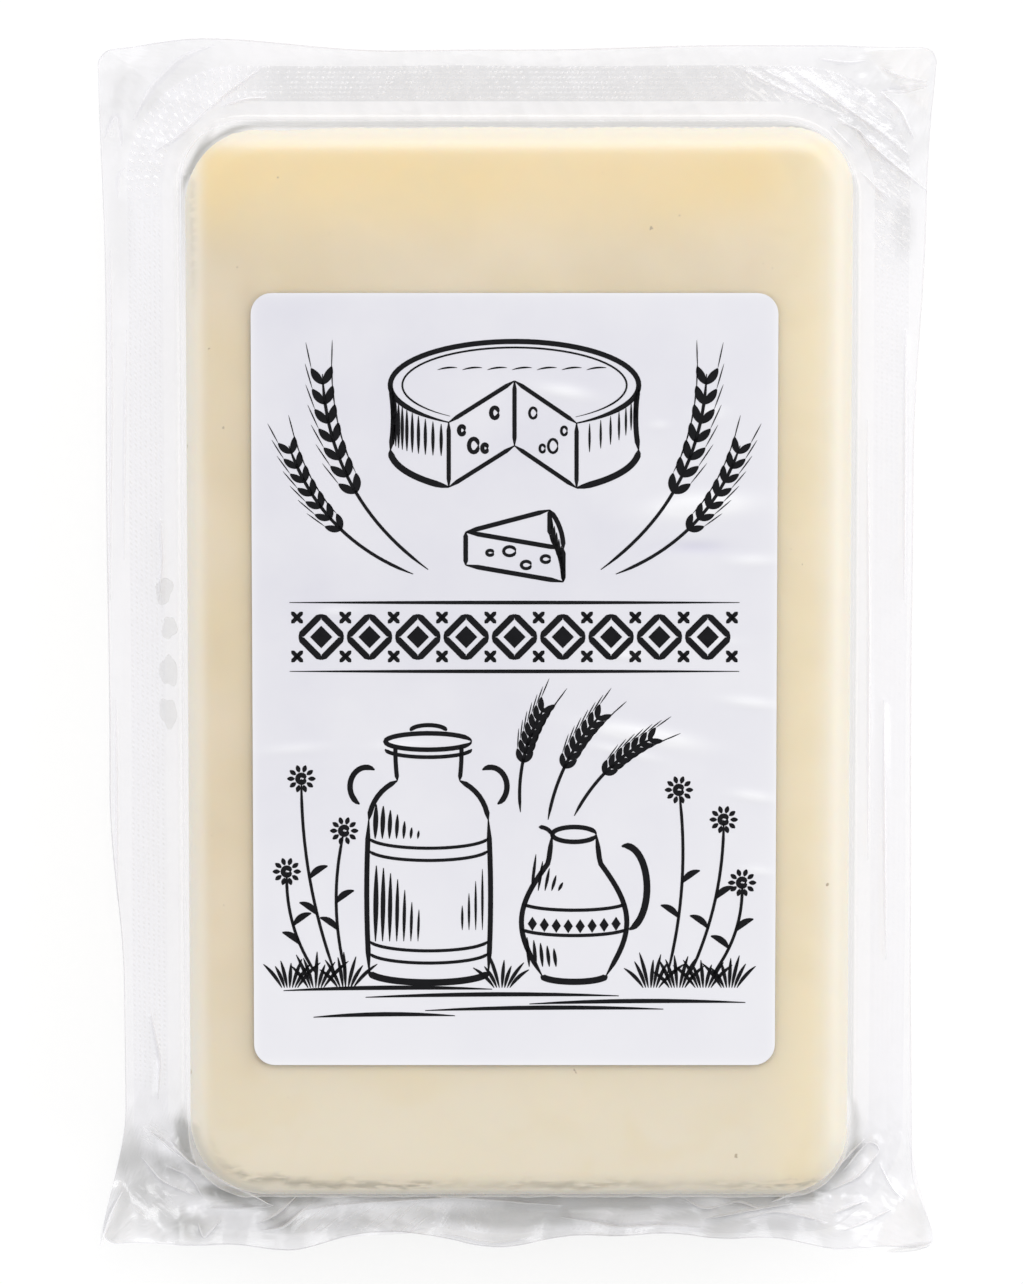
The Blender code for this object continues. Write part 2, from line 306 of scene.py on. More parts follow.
# Soft lights as (name, place, size, power), in metres and watts
LIGHTS = (
    ("key_from_top_end", (0.35, 1.5, 1.6), (1.9, 1.2), 22.0),
    ("fill_from_right", (1.7, 0.1, 1.1), (1.2, 1.4), 11.0),
    ("fill_from_left", (-1.7, 0.1, 1.1), (1.2, 1.4), 8.5),
)
LIGHT_TARGET = (0.0, 0.0, 0.02)
WORLD_STRENGTH = 0.6

# Seeds of what is drawn at random
SKIN_SEED = 21
PIP_SEED = 12
GRASS_SEED = 4

# Steps round one corner and along the short and long sides
CHEESE_STEPS = (20, 120, 180)
TRAY_STEPS = (56, 150, 220)
SEAL_STEPS = (80, 220, 370)
LID_STEPS = (40, 150, 230)
SEAL_LINES = 22
LABEL_STEPS = (8, 140, 210)

# Photograph: its height and its scale on the pack's face in pixels, and the camera that fits it
PHOTO_HEIGHT = 1284
PIXELS_PER_MM = 7.49
CAMERA_DISTANCE = 500.0
CAMERA_TILT = math.radians(4.0)
CAMERA_TARGET = (-1.0, 2.5)
SENSOR_HEIGHT = 36.0


def ease(fraction):
    """0 to 1 with level ends."""
    clipped = np.clip(fraction, 0.0, 1.0)
    return 0.5 - 0.5 * np.cos(np.pi * clipped)


def ramp(value, low, high):
    return np.clip((value - low) / (high - low), 0.0, 1.0)


def fade(distance, zone):
    """A zone's strength up to the distance where it is full, then eased down to 0 over its width."""
    strength, full, width = zone
    return strength * ease(1.0 - (distance - full) / width)


def window(value, span):
    """Eased up from 0 to 1 between the span's first two places and down again between its last two."""
    (low, low_full), (high_full, high) = span
    return ease((value - low) / (low_full - low)) * ease((high - value) / (high - high_full))


def bell(distance, width):
    return np.exp(-(distance / width) ** 2)


def tent(value):
    """A zigzag between 0 and 1, one crest for each unit."""
    return 1.0 - 2.0 * np.abs(value - np.floor(value) - 0.5)


def rounded_rectangle(half_x, half_y, radii, steps):
    """Points anticlockwise round a rounded rectangle, as rows of x and y."""
    corner_steps, short_steps, long_steps = steps
    arcs = []
    for turn, (side_x, side_y) in enumerate(((1, 1), (-1, 1), (-1, -1), (1, -1))):
        radius = max(radii[turn], 0.0)
        angle = 0.5 * np.pi * (turn + np.linspace(0, 1, corner_steps + 1))
        x = side_x * (half_x - radius) + radius * np.cos(angle)
        y = side_y * (half_y - radius) + radius * np.sin(angle)
        arcs.append(np.stack([x, y], axis=1))
    parts = []
    for turn, arc in enumerate(arcs):
        count = short_steps if turn % 2 == 0 else long_steps
        along = (np.arange(1, count) / count)[:, None]
        parts.append(arc)
        parts.append(arc[-1] + (arcs[(turn + 1) % 4][0] - arc[-1]) * along)
    return np.concatenate(parts)


def block_outline(offset, steps, corners=CORNER_RADII):
    """The block's outline, or one round it at a distance."""
    half_x = max(BLOCK_HALF[0] + offset, 0.02)
    half_y = BLOCK_HALF[1] + offset
    radii = [min(max(radius + offset, 0.0), half_x) for radius in corners]
    return rounded_rectangle(half_x, half_y, radii, steps) + (0.0, BLOCK_CENTRE_Y)


def along_edge(places, along):
    """The edge's distance out along a side, eased from each given place to the next."""
    starts = np.array([place[0] for place in places], float)
    outs = np.array([place[1] for place in places], float)
    slot = np.clip(np.searchsorted(starts, along) - 1, 0, len(places) - 2)
    part = ease((along - starts[slot]) / (starts[slot + 1] - starts[slot]))
    return outs[slot] + (outs[slot + 1] - outs[slot]) * part


def flange_outline(steps):
    """The trimmed edge of both films."""
    ring = rounded_rectangle(*EDGE_HALF, [EDGE_CORNER_RADIUS] * 4, steps)
    x, y = ring.T
    side_out = np.where(x > 0, along_edge(RIGHT_EDGE, y), along_edge(LEFT_EDGE, y))
    end_out = np.where(y > 0, along_edge(TOP_EDGE, x), along_edge(BOTTOM_EDGE, x))
    return np.stack([x * side_out / EDGE_HALF[0], y * end_out / EDGE_HALF[1]], axis=1)


def seal_outline(offset, edge, steps):
    """One line of the seal band, held inside the trimmed edge."""
    half_x = BLOCK_HALF[0] + offset
    half_y = BLOCK_HALF[1] + offset
    radius = SEAL_CORNER_RADIUS + 0.6 * (offset - SEAL_OFFSET)
    ring = rounded_rectangle(half_x, half_y, [radius] * 4, steps) + (0.0, BLOCK_CENTRE_Y)
    limit = np.where(np.abs(edge) > BLOCK_HALF, np.abs(edge) - EDGE_MARGIN, np.inf)
    return np.clip(ring, -limit, limit)


def wave(shape, along):
    height, length, crest = shape
    return height * np.cos(2 * np.pi * (along - crest) / length)


def flange_underside(x, y):
    """The flange's height: waves that grow towards its edge, a curled lower end and curled corners."""
    out_x = ramp(np.abs(x), BLOCK_HALF[0] + FOLD_OFFSET, EDGE_HALF[0])
    out_y = ramp(np.abs(y - BLOCK_CENTRE_Y), BLOCK_HALF[1] + FOLD_OFFSET, EDGE_HALF[1])
    end_wave = np.where(y > 0, wave(TOP_WAVE, x), wave(BOTTOM_WAVE, x) + BOTTOM_CURL)
    lift = np.zeros_like(x)
    for side_x, side_y, height in CORNER_LIFTS:
        lift += np.where((x * side_x > 0) & (y * side_y > 0), height, 0.0)
    curl = lift * np.maximum(out_x + out_y - 1.0, 0.0)
    return FLANGE_HEIGHT + end_wave * ease(out_y) + wave(SIDE_WAVE, y) * ease(out_x) + curl


def near_chain(x, y, chain):
    """Distance from a chain of lines, above zero on its left, and a share that fades out at both ends."""
    chain = np.array(chain)
    spans = np.hypot(*np.diff(chain, axis=0).T)
    starts = np.concatenate([[0.0], np.cumsum(spans)])
    nearest = np.full_like(x, np.inf)
    travelled = np.zeros_like(x)
    for (x0, y0), (x1, y1), span, start in zip(chain, chain[1:], spans, starts):
        ahead_x, ahead_y = (x1 - x0) / span, (y1 - y0) / span
        along = (x - x0) * ahead_x + (y - y0) * ahead_y
        side = (y - y0) * ahead_x - (x - x0) * ahead_y
        away = np.hypot(side, along - np.clip(along, 0.0, span)) * np.where(side < 0, -1.0, 1.0)
        closer = np.abs(away) < np.abs(nearest)
        nearest = np.where(closer, away, nearest)
        travelled = np.where(closer, start + along, travelled)
    return nearest, ease(np.minimum(travelled, starts[-1] - travelled) * 0.6 + 0.4)


def crease_relief(x, y):
    """Sharp ridges along the creases."""
    relief = np.zeros_like(x)
    for width, height, chain in CREASES:
        away, share = near_chain(x, y, chain)
        relief += 0.8 * height * np.maximum(1.0 - np.abs(away) / (1.2 * width), 0.0) * share
    return relief


def crease_tones(x, y):
    """Painted shade on the right of each crease's run, and a painted highlight on the left: how dark and how
    bright the film looks there.
    """
    dark, bright = np.zeros_like(x), np.zeros_like(x)
    for width, height, chain in CREASES:
        away, share = near_chain(x, y, chain)
        dark += 0.3 * height * share * np.exp(-np.abs(away) / (1.5 * width)) * (away < 0)
        bright += 0.22 * height * share * np.exp(-np.abs(away) / width) * (away > 0)
    return dark, bright


def soft_places(x, y, places):
    """Sum of soft oval places, each full in its middle and gone a little beyond its half length and width."""
    total = np.zeros_like(x)
    for middle_x, middle_y, half_length, half_width, slant, strength in places:
        along, across = turned(x - middle_x, y - middle_y, slant)
        total += strength * ease(1.35 - np.hypot(along / half_length, across / half_width))
    return total


def turned(x, y, slant):
    """Distance along a direction that many degrees from +X, and across it."""
    turn = math.radians(slant)
    return x * math.cos(turn) + y * math.sin(turn), y * math.cos(turn) - x * math.sin(turn)


def bent_stripes(x, y, seed, sizes, bend_height, bend_length):
    """Slanting stripes of each size in turn: the size, and the place across them counted in stripes."""
    draw = np.random.default_rng(seed)
    for size in sizes:
        angle, phase = draw.uniform(0, np.pi), draw.uniform(0, 1)
        bend = bend_height * np.sin((x * np.sin(angle) - y * np.cos(angle)) / bend_length + phase)
        yield size, (x * np.cos(angle) + y * np.sin(angle) + bend) / size + phase


def crumple_relief(x, y):
    """Flat facets with straight creases, as stiff film crumples."""
    relief = np.zeros_like(x)
    for centre_x, centre_y, radius, height, seed in CRUMPLES:
        facets = np.full_like(x, -1.2)
        for size, across in bent_stripes(x, y, seed, CRUMPLE_SIZES, 1.2, 7.0):
            facets += tent(across) * size / 9.0
        away = np.hypot(x - centre_x, y - centre_y) / radius
        relief += height * facets * ease(1.3 - away)
    return relief


def facet_tone(x, y):
    """Painted shade on the flat facets of the crumpled corners: how much darker each one looks."""
    tone = np.zeros_like(x)
    for centre_x, centre_y, radius, strength, seed in FACET_TONES:
        pattern = np.zeros_like(x)
        for _, across in bent_stripes(x, y, seed, FACET_SIZES, 1.0, 6.0):
            pattern += np.mod(across, 1.0) - 0.5
        away = np.hypot(x - centre_x, y - centre_y) / radius
        tone += strength * np.clip(0.5 + 0.6 * pattern, 0.0, 1.0) * ease(1.35 - away)
    return tone


def past_block(x, y):
    """Distance outside the block's outline as it shows from above, below zero inside it."""
    across = np.maximum(np.abs(x) - BLOCK_HALF[0] + SHOWN_CORNER, 0.0)
    along = np.maximum(np.abs(y - BLOCK_CENTRE_Y) - BLOCK_HALF[1] + SHOWN_CORNER, 0.0)
    return np.hypot(across, along) - SHOWN_CORNER


def under_block(x, y):
    """The narrow gap that shows below the block's lower end, where little light gets in."""
    return bell(y - GAP_Y, GAP_WIDTH) * fade(np.abs(x + 1.0), ALONG_GAP)


def film_relief(x, y):
    """Creases and crumples of the flange, level at the fold so that the wall stays smooth."""
    relief = crease_relief(x, y) + crumple_relief(x, y)
    return relief * ramp(past_block(x, y), 1.5, 4.5)


def mesh_object(name, vertices, faces, material, smooth=True):
    """A piece from vertices in millimetres."""
    mesh = bpy.data.meshes.new(name)
    mesh.from_pydata(np.asarray(vertices) * MM, [], faces)
    mesh.validate()
    if smooth:
        mesh.shade_smooth()
    mesh.materials.append(material)
    piece = bpy.data.objects.new(name, mesh)
    bpy.context.scene.collection.objects.link(piece)
    return piece


def loft_faces(ring_count, point_count, first=0, closed_start=False, closed_end=False):
    """Quads between rings of equal count, and one face across the first or the last ring if it is closed."""
    rows = np.arange(ring_count - 1)[:, None] * point_count + first
    here = rows + np.arange(point_count)
    after = rows + (np.arange(point_count) + 1) % point_count
    quads = np.stack([here, after, after + point_count, here + point_count], axis=2)
    faces = quads.reshape(-1, 4).tolist()
    if closed_start:
        faces.append(list(range(first + point_count - 1, first - 1, -1)))
    if closed_end:
        last = first + (ring_count - 1) * point_count
        faces.append(list(range(last, last + point_count)))
    return faces


def with_height(outline, height):
    return np.column_stack([outline, np.broadcast_to(height, len(outline))])


def fillet(offset, height, radius, first, last, count):
    """A rounded edge as pairs of offset and height, from one angle in degrees to another."""
    angles = np.radians(np.linspace(first, last, count))
    return [(offset - radius * (1 - math.cos(angle)), height + radius * math.sin(angle)) for angle in angles]


def rings_round_block(profile, steps, corners=CORNER_RADII):
    """One ring for each pair of offset and height."""
    return [with_height(block_outline(offset, steps, corners), height) for offset, height in profile]


def cheese_points():
    """The block's rings: rounded edges, a slightly uneven skin and a ragged upper edge."""
    foot = CHEESE_BACK_Z + BACK_FILLET
    shoulder = FACE_Z - FILM_GAP - FACE_FILLET
    first_inset = FILM_GAP + FACE_FILLET + 1.5
    back_insets = np.linspace(TO_MIDDLE, BACK_FILLET, 14)
    profile = [(CHEESE_FOOT_OFFSET - inset, CHEESE_BACK_Z) for inset in back_insets]
    profile += fillet(CHEESE_FOOT_OFFSET, foot, BACK_FILLET, -75, 0, 6)
    for level in np.linspace(0.08, 1.0, 15):
        offset = CHEESE_FOOT_OFFSET * (1 - level) - FILM_GAP * level
        profile.append((offset, foot + (shoulder - foot) * level))
    profile += fillet(-FILM_GAP, shoulder, FACE_FILLET, 9, 90, 10)
    profile += [(-inset, FACE_Z - FILM_GAP) for inset in np.linspace(first_inset, TO_MIDDLE, 28)]
    points = np.concatenate(rings_round_block(profile, CHEESE_STEPS, CHEESE_CORNER_RADII))
    x, y, z = points.T
    draw = np.random.default_rng(SKIN_SEED)
    swell = np.zeros_like(x)
    for _ in range(14):
        angle, phase = draw.uniform(0, 2 * np.pi, 2)
        size = draw.uniform(9.0, 26.0)
        swell += np.sin((x * np.cos(angle) + y * np.sin(angle) + 0.5 * z) * 2 * np.pi / size + phase)
    points[:, 2] += np.where(z > 26.0, 0.012 * swell - 0.05, 0.0)
    top_side = ramp(y, BLOCK_HALF[1] - 4.0, BLOCK_HALF[1] - 1.0)
    ragged = 0.07 * np.sin(x * 2.9) * np.sin(x * 0.73 + 1.0)
    ragged += 0.06 * np.sin(x * 0.31) + 0.05 * np.sin(x * 5.3)
    points[:, 1] -= top_side * (ragged + 0.4 * bell(x + 31.0, 6.0) * ramp(z, 10.0, 24.0))
    return points, len(profile)


def cheese_piece(material):
    """The block itself, with the tones that its face takes towards each side, painted light and shade among
    them.
    """
    points, rings = cheese_points()
    faces = loft_faces(rings, len(points) // rings, closed_start=True, closed_end=True)
    piece = mesh_object("cheese_block", points, faces, material)
    x, y, z = points.T
    top = BLOCK_HALF[1] + BLOCK_CENTRE_Y - y
    bottom = y + BLOCK_HALF[1] - BLOCK_CENTRE_Y
    left, right = x + BLOCK_HALF[0], BLOCK_HALF[0] - x
    white = np.maximum.reduce([fade(side, zone) for side, zone in zip((top, right, left, bottom), RIM_HIGHLIGHT)])
    corner = CHEESE_CORNER_RADII[2]
    corner_x, corner_y = corner - BLOCK_HALF[0], corner - BLOCK_HALF[1] + BLOCK_CENTRE_Y
    in_corner = (x < corner_x) & (y < corner_y)
    low = np.where(in_corner, corner - np.hypot(x - corner_x, y - corner_y), bottom)
    ragged_line = 2.1 + 0.3 * np.sin(x * 0.9) * np.sin(x * 0.37 + 1.0) + 0.12 * np.sin(x * 2.1)
    ragged_line += 0.8 * ease((-24.0 - x) / 10.0)
    line_share = np.where(x < -12.0, 1.0, 0.55 + 0.3 * np.sin(x * 0.21)) * ramp(x, -42.0, -37.0)
    upper = ramp(z, 25.0, 27.2)
    # Painted shade along a ragged line where the film wrinkles over the lower edge
    streak = fade(np.abs(low - ragged_line), WRINKLE_SHADE_LINE) * line_share * upper
    blots = fade(np.abs(left - 1.5), OLIVE_BLOTS) * ramp(y, 46.0, 52.0) * (y < 64.0)
    # Painted shade on the lower fillet and the lower left corner, which face away from the light
    underside = np.maximum(fade(bottom, DARK_FOOT), fade(low, DARK_CORNER) * in_corner) * upper
    add_values(
        piece,
        # Painted highlight along the face's rim
        rim=white * (0.35 + 0.65 * ramp(z, 17.0, 26.0)),
        # Painted warm light towards the top end
        glow=fade(top, TOP_GLOW),
        # Painted light on the right side
        side_glow=fade(right, RIGHT_GLOW),
        pale=fade(bottom, PALE_FOOT),
        # Painted shade in the film's wrinkles along the lower edge, with olive blots by the left side
        damp=np.maximum(streak, blots),
        # Painted shade on the lower edge, the lower left corner and the left side
        dark=np.maximum(underside, fade(left, DARK_LEFT)),
        shaded=label_shadow(x, y) * ramp(bottom, 4.0, 12.0) * ramp(top, 4.0, 10.0) * (z > 20.0),
    )
    return piece


def past_label(x, y):
    """Distance past the label's sides along X and along Y, below zero inside them."""
    return np.abs(x - LABEL_CENTRE[0]) - LABEL_HALF[0], np.abs(y - LABEL_CENTRE[1]) - LABEL_HALF[1]


def label_shadow(x, y):
    """Soft shade round the label, stronger on its left."""
    past_x, past_y = past_label(x, y)
    away = np.hypot(np.maximum(past_x, 0.0), np.maximum(past_y, 0.0))
    on_left = ramp(LABEL_CENTRE[0] - x - LABEL_HALF[0], -2.0, 1.0)
    return (0.25 + 0.3 * on_left) * np.exp(-away / 1.6) + 0.05 * on_left


def add_values(piece, **values):
    """Gives each vertex one number under each name, which the material reads by that name."""
    for name, numbers in values.items():
        attribute = piece.data.attributes.new(name, "FLOAT", "POINT")
        attribute.data.foreach_set("value", np.asarray(numbers, dtype=np.float32))


def tray_piece(material):
    """The formed film: outer strip, inner strip, fold, wall, fillet and face, open under the seal band."""
    edge = flange_outline(TRAY_STEPS)
    seal_out = seal_outline(SEAL_OFFSET + SEAL_WIDTH, edge, TRAY_STEPS)
    seal_in = seal_outline(SEAL_OFFSET, edge, TRAY_STEPS)
    fold = block_outline(FOLD_OFFSET, TRAY_STEPS)
    outer = [flange_sheet(seal_out + (edge - seal_out) * part, TRAY_RISE) for part in np.linspace(1, 0, 19)]
    inner = [flange_sheet(fold + (seal_in - fold) * part, TRAY_RISE) for part in np.linspace(1, 0, 7)]
    fold_rows = slice(len(outer) + len(inner) - 1, len(outer) + len(inner) + 4)
    foot = FLANGE_HEIGHT + TRAY_RISE + FOLD_RISE
    for turn in 0.5 * math.pi * np.array((0.3, 0.6, 0.85, 1.0)):
        offset = FOLD_OFFSET + (WALL_FOOT_OFFSET - FOLD_OFFSET) * math.sin(turn)
        sheet = flange_sheet(block_outline(offset, TRAY_STEPS), TRAY_RISE)
        sheet[:, 2] += (foot - sheet[:, 2]) * (1 - math.cos(turn))
        inner.append(sheet)
    shoulder = FACE_Z - FACE_FILLET
    levels = np.linspace(0.08, 1.0, 18)
    profile = [(WALL_FOOT_OFFSET * (1 - level), foot + (shoulder - foot) * level) for level in levels]
    profile += fillet(0.0, shoulder, FACE_FILLET, 9, 90, 10)
    profile += [(-inset, FACE_Z) for inset in np.linspace(FACE_FILLET + 2.0, TO_MIDDLE, 16)]
    inner += rings_round_block(profile, TRAY_STEPS)
    count = len(edge)
    faces = loft_faces(len(outer), count)
    faces += loft_faces(len(inner), count, first=len(outer) * count, closed_end=True)
    points = with_wall_relief(np.concatenate(outer + inner))
    piece = mesh_object("tray_film", points, faces, material)
    x, y, z = points.T
    on_flange = (z < foot) * 1.0
    on_outer = np.arange(len(points)) < (len(outer) - 1) * count
    fold_shine = np.zeros(len(outer) + len(inner))
    fold_shine[fold_rows] = (0.1, 0.3, 0.8, 1.2, 0.5)
    side_share = np.where(x < -44.0, 1.0 + 0.9 * ramp(y, 46.0, 54.0) * ramp(-y, -68.0, -62.0), 0.4)
    side_share *= 1.0 - 0.9 * ramp(-y, 60.0, 66.0) * (x < 0)
    # Painted shade from the creases, the top end and the gap below the block; painted highlights from the
    # creases, the bright places and the white line along the fold
    dark, haze_and_highlights = film_tones(x, y)
    shade = dark + 0.08 * ramp(y, 68.0, 76.0) + under_block(x, y)
    add_values(
        piece,
        tight=ramp(z, foot + 1.0, foot + 6.0),
        shade=np.minimum(shade, 1.0) * on_flange,
        pip=haze_and_highlights * on_flange + np.repeat(fold_shine, count) * side_share,
        strokes=knurled(x, y) * on_outer,
    )
    return piece


def film_tones(x, y):
    """Painted shade from the creases, and painted highlights from the creases and the bright places, which
    the film shows as haze.
    """
    dark, bright = crease_tones(x, y)
    return dark, bright + np.maximum(-soft_places(x, y, FILM_TONES), 0.0)


def knurled(x, y):
    """How much of the coarse knurling of the lower left corner is there."""
    return np.clip(soft_places(x, y, KNURLED_PLACES), 0.0, 1.0)


def flange_sheet(outline, rise):
    x, y = outline.T
    return np.column_stack([x, y, flange_underside(x, y) + rise + film_relief(x, y)])


def with_wall_relief(points):
    """Small pleats in the film round the foot of the block, strongest at its lower side."""
    x, y, z = points.T
    low_side = ramp(-y, BLOCK_HALF[1] - 8.0, BLOCK_HALF[1])
    wall = ramp(z, 5.0, 12.0) * ramp(FACE_Z - 1.0 - z, 0.0, 2.5)
    pleat = 0.08 * np.sin(x * 0.9 + 0.7 * np.sin(x * 0.31)) * np.sin(x * 0.23 + 0.8) + 0.03 * np.sin(x * 2.3)
    moved = points.copy()
    moved[:, 1] -= np.where(y < 0, low_side * wall * (0.12 + pleat), 0.0)
    return moved


def slanting_dashes(x, y, slant, pitch, length):
    """Height of ridges in one direction, each broken into dashes that are set off from their neighbours'."""
    along, across = turned(x, y, slant)
    line = np.floor(across / pitch)
    ridge = np.maximum(1.0 - 3.2 * np.abs(across / pitch - line - 0.5), 0.0)
    dash = ramp(tent(along / length + 0.37 * line), 0.25, 0.5)
    return ridge * dash


def seal_piece(material):
    """The knurled band: fine pips on the straight sides, coarser dashes and ribs where it was stretched."""
    edge = flange_outline(SEAL_STEPS)
    offsets = np.linspace(SEAL_OFFSET + SEAL_WIDTH, SEAL_OFFSET, SEAL_LINES)
    rings = [flange_sheet(seal_outline(offset, edge, SEAL_STEPS), TRAY_RISE) for offset in offsets]
    faces = loft_faces(len(rings), len(rings[0]))
    points = np.concatenate(rings)
    row, step = np.divmod(np.arange(len(points)), len(rings[0]))
    x, y = points.T[:2]
    inside = (row > 0) & (row < SEAL_LINES - 1)
    fine = (row % 3 == 1) & ((step + row // 3) % 2 == 0)
    coarse = (row % 5 > 0) & (row % 5 < 4) & ((step + 2 * (row // 5)) % 4 == 0)
    at_top = ramp(y, 60.0, 72.0) * fade(np.abs(x), TOP_BAND)
    at_side = fade(np.abs(y), SIDE_BAND) * np.where(x < 0, 0.45, 0.08 + 0.3 * ramp(y, 20.0, 60.0))
    upper_left = (x < 0) * ramp(y, 58.0, 66.0) * ramp(-x, 34.0, 40.0)
    upper_right = ramp(x, 27.0, 33.0) * ramp(y, 50.0, 62.0)
    at_foot = ramp(-y, 74.0, 78.0)
    plain_foot = 0.3 * window(x, PLAIN_FOOT) * at_foot
    uneven = np.random.default_rng(PIP_SEED).uniform(0.25, 1.0, len(points))
    strength = np.maximum.reduce([at_top, at_side, plain_foot]) * uneven
    pip = fine * strength * (1.0 - upper_right) * (1.0 - upper_left)
    pip += 0.8 * coarse * upper_left
    pip += 0.7 * slanting_dashes(x, y, 36.0, 0.8, 9.0) * window(x, RIBS) * at_foot
    pip += 0.6 * slanting_dashes(x, y, -52.0, 0.8, 6.0) * window(x, BACK_RIBS) * at_foot
    strokes = np.maximum(knurled(x, y), upper_right)
    pip += 0.4 * fine * strokes
    pip = pip * inside
    points[:, 2] += KNURL_HEIGHT * pip
    piece = mesh_object("seal_band", points, faces, material, smooth=False)
    # Painted shade from the creases, the top stretch of the band, the upper right corner and the gap below
    # the block; painted highlights from the creases and bright places, added to the pips' haze
    dark, haze_and_highlights = film_tones(x, y)
    band = 0.3 * ramp(y, 60.0, 76.0) * ease((42.0 - np.abs(x)) / 10.0)
    shade = dark + np.maximum(band, 0.1 * upper_right) + under_block(x, y)
    haze_and_highlights += pip * (1.0 - 0.8 * upper_right)
    add_values(piece, pip=haze_and_highlights, strokes=strokes, shade=np.minimum(shade, 1.0))
    return piece


def edge_piece(material):
    """The trimmed edge, where both films end as one thin welded bead."""
    edge = flange_sheet(flange_outline(TRAY_STEPS), 0.5 * (TRAY_RISE + LID_RISE))
    inward = edge - edge.mean(axis=0)
    inward[:, 2] = 0.0
    inward /= np.hypot(inward[:, 0], inward[:, 1])[:, None]
    rings = []
    for angle in np.linspace(0, 2 * np.pi, 6, endpoint=False):
        ring = edge - inward * EDGE_BEAD * (1 - math.cos(angle))
        ring[:, 2] += 1.4 * EDGE_BEAD * math.sin(angle)
        rings.append(ring)
    count = len(edge)
    last = (len(rings) - 1) * count
    faces = loft_faces(len(rings), count)
    faces += [[last + i, last + (i + 1) % count, (i + 1) % count, i] for i in range(count)]
    return mesh_object("trimmed_edge", np.concatenate(rings), faces, material)


def smooth_chain(chain, step=0.45):
    """Close points along a chain of lines, with its bends rounded off."""
    chain = np.array(chain)
    spans = np.concatenate([[0.0], np.cumsum(np.hypot(*np.diff(chain, axis=0).T))])
    places = np.linspace(0.0, spans[-1], max(int(spans[-1] / step), 4) + 1)
    line = np.column_stack([np.interp(places, spans, chain[:, 0]), np.interp(places, spans, chain[:, 1])])
    for _ in range(6):
        line[1:-1] = 0.25 * line[:-2] + 0.5 * line[1:-1] + 0.25 * line[2:]
    return line


def strip_faces(first, columns, count):
    """Quads between neighbouring lines of points, from the first point on."""
    faces = []
    for column in range(columns):
        for step in range(count - 1):
            here = first + column * count + step
            faces.append([here, here + 1, here + 1 + count, here + count])
    return faces


def fold_piece(material):
    """Creases pinched into narrow raised folds, each with painted shade in a hollow along its right side and
    a painted highlight along its ridge and left side.
    """
    points, faces, dark, white = [], [], [], []
    for width, height, chain in CREASES:
        line = smooth_chain(chain)
        count = len(line)
        part = np.linspace(0, 1, count)
        swell = np.sin(np.pi * np.clip(part, 0.03, 0.97)) ** 0.6
        across = across_line(line) * 0.2 * min(width, 1.4) * swell[:, None]
        faces += strip_faces(len(points), 3, count)
        for side, rise, darkness, whiteness in (
            (-3, 0.0, 0.0, -0.15),
            (-1, 0.02, 0.42 * min(height, 1.0), -0.1),
            (0, 0.3 * min(height, 0.8), 0.0, 1.7 * height + 0.2),
            (1, 0.02, 0.0, 1.3 * height),
        ):
            sheet = flange_sheet(line + across * side, TRAY_RISE)
            sheet[:, 2] += 0.03 + rise * np.sin(np.pi * part)
            points += list(sheet)
            dark += list(darkness * swell)
            white += [whiteness] * count
    piece = mesh_object("pinched_folds", points, faces, material, smooth=False)
    add_values(piece, shade=dark, pip=white)
    return piece


def across_line(line):
    """The direction to the left of a line at each of its points."""
    ahead = np.gradient(line, axis=0)
    ahead /= np.maximum(np.hypot(*ahead.T), 1e-9)[:, None]
    return np.column_stack([-ahead[:, 1], ahead[:, 0]])


def lid_piece(material):
    """The flat film behind the block, up to the trimmed edge. It carries the film's painted shade: the soft
    dark places, the darker facets, and the shade in the gap round the block and below its lower end.
    """
    edge = flange_outline(LID_STEPS)
    fold = block_outline(FOLD_OFFSET, LID_STEPS)
    profile = [(-inset, LID_Z) for inset in np.linspace(TO_MIDDLE, 1.8, 12)]
    for offset in (-0.7, 0.3, 1.0, 1.3, 1.6, 1.9, 2.2, 2.5, 2.8):
        profile.append((offset, np.interp(offset, *LID_BEND)))
    rings = rings_round_block(profile, LID_STEPS)
    rings += [flange_sheet(fold + (edge - fold) * part, LID_RISE) for part in np.linspace(0, 1, 24)]
    points = np.concatenate(rings)
    faces = loft_faces(len(rings), len(rings[0]), closed_start=True)
    piece = mesh_object("lid_film", points, faces, material)
    x, y, z = points.T
    low_end = ramp(-y, 64.0, 72.0)
    middle = np.where(y > 66.0, 1.8, 2.3) + 2.6 * low_end
    gap = bell(past_block(x, y) - middle, 0.5 + 0.4 * low_end)
    below = BLOCK_CENTRE_Y - BLOCK_HALF[1] - y
    under = ramp(below, 0.0, 1.5) * fade(below, UNDER_FOOT) * fade(np.abs(x + 1.0), ALONG_FOOT)
    side_share = np.where(x > 0, 0.5, 0.05 + 0.6 * ramp(y, 45.0, 62.0))
    dark_ends = np.maximum(ramp(y, 66.0, 72.0), ramp(-y, 65.0, 70.0) * ramp(-x, 25.0, 32.0))
    side_share += (0.95 - side_share) * dark_ends
    tones = np.maximum(soft_places(x, y, FILM_TONES), 0.0) + facet_tone(x, y)
    shade = np.maximum.reduce([gap * side_share, 0.75 * under, under_block(x, y)]) + tones * (z > 0.1)
    add_values(piece, shade=np.minimum(shade, 1.0))
    return piece


def flat_label_height(x, y):
    """The paper's upper face without its crinkles: a faint swell."""
    return LABEL_LOW[2] + 0.1 + 0.03 * np.sin(x * 0.11 + 0.6) * np.sin(y * 0.07)


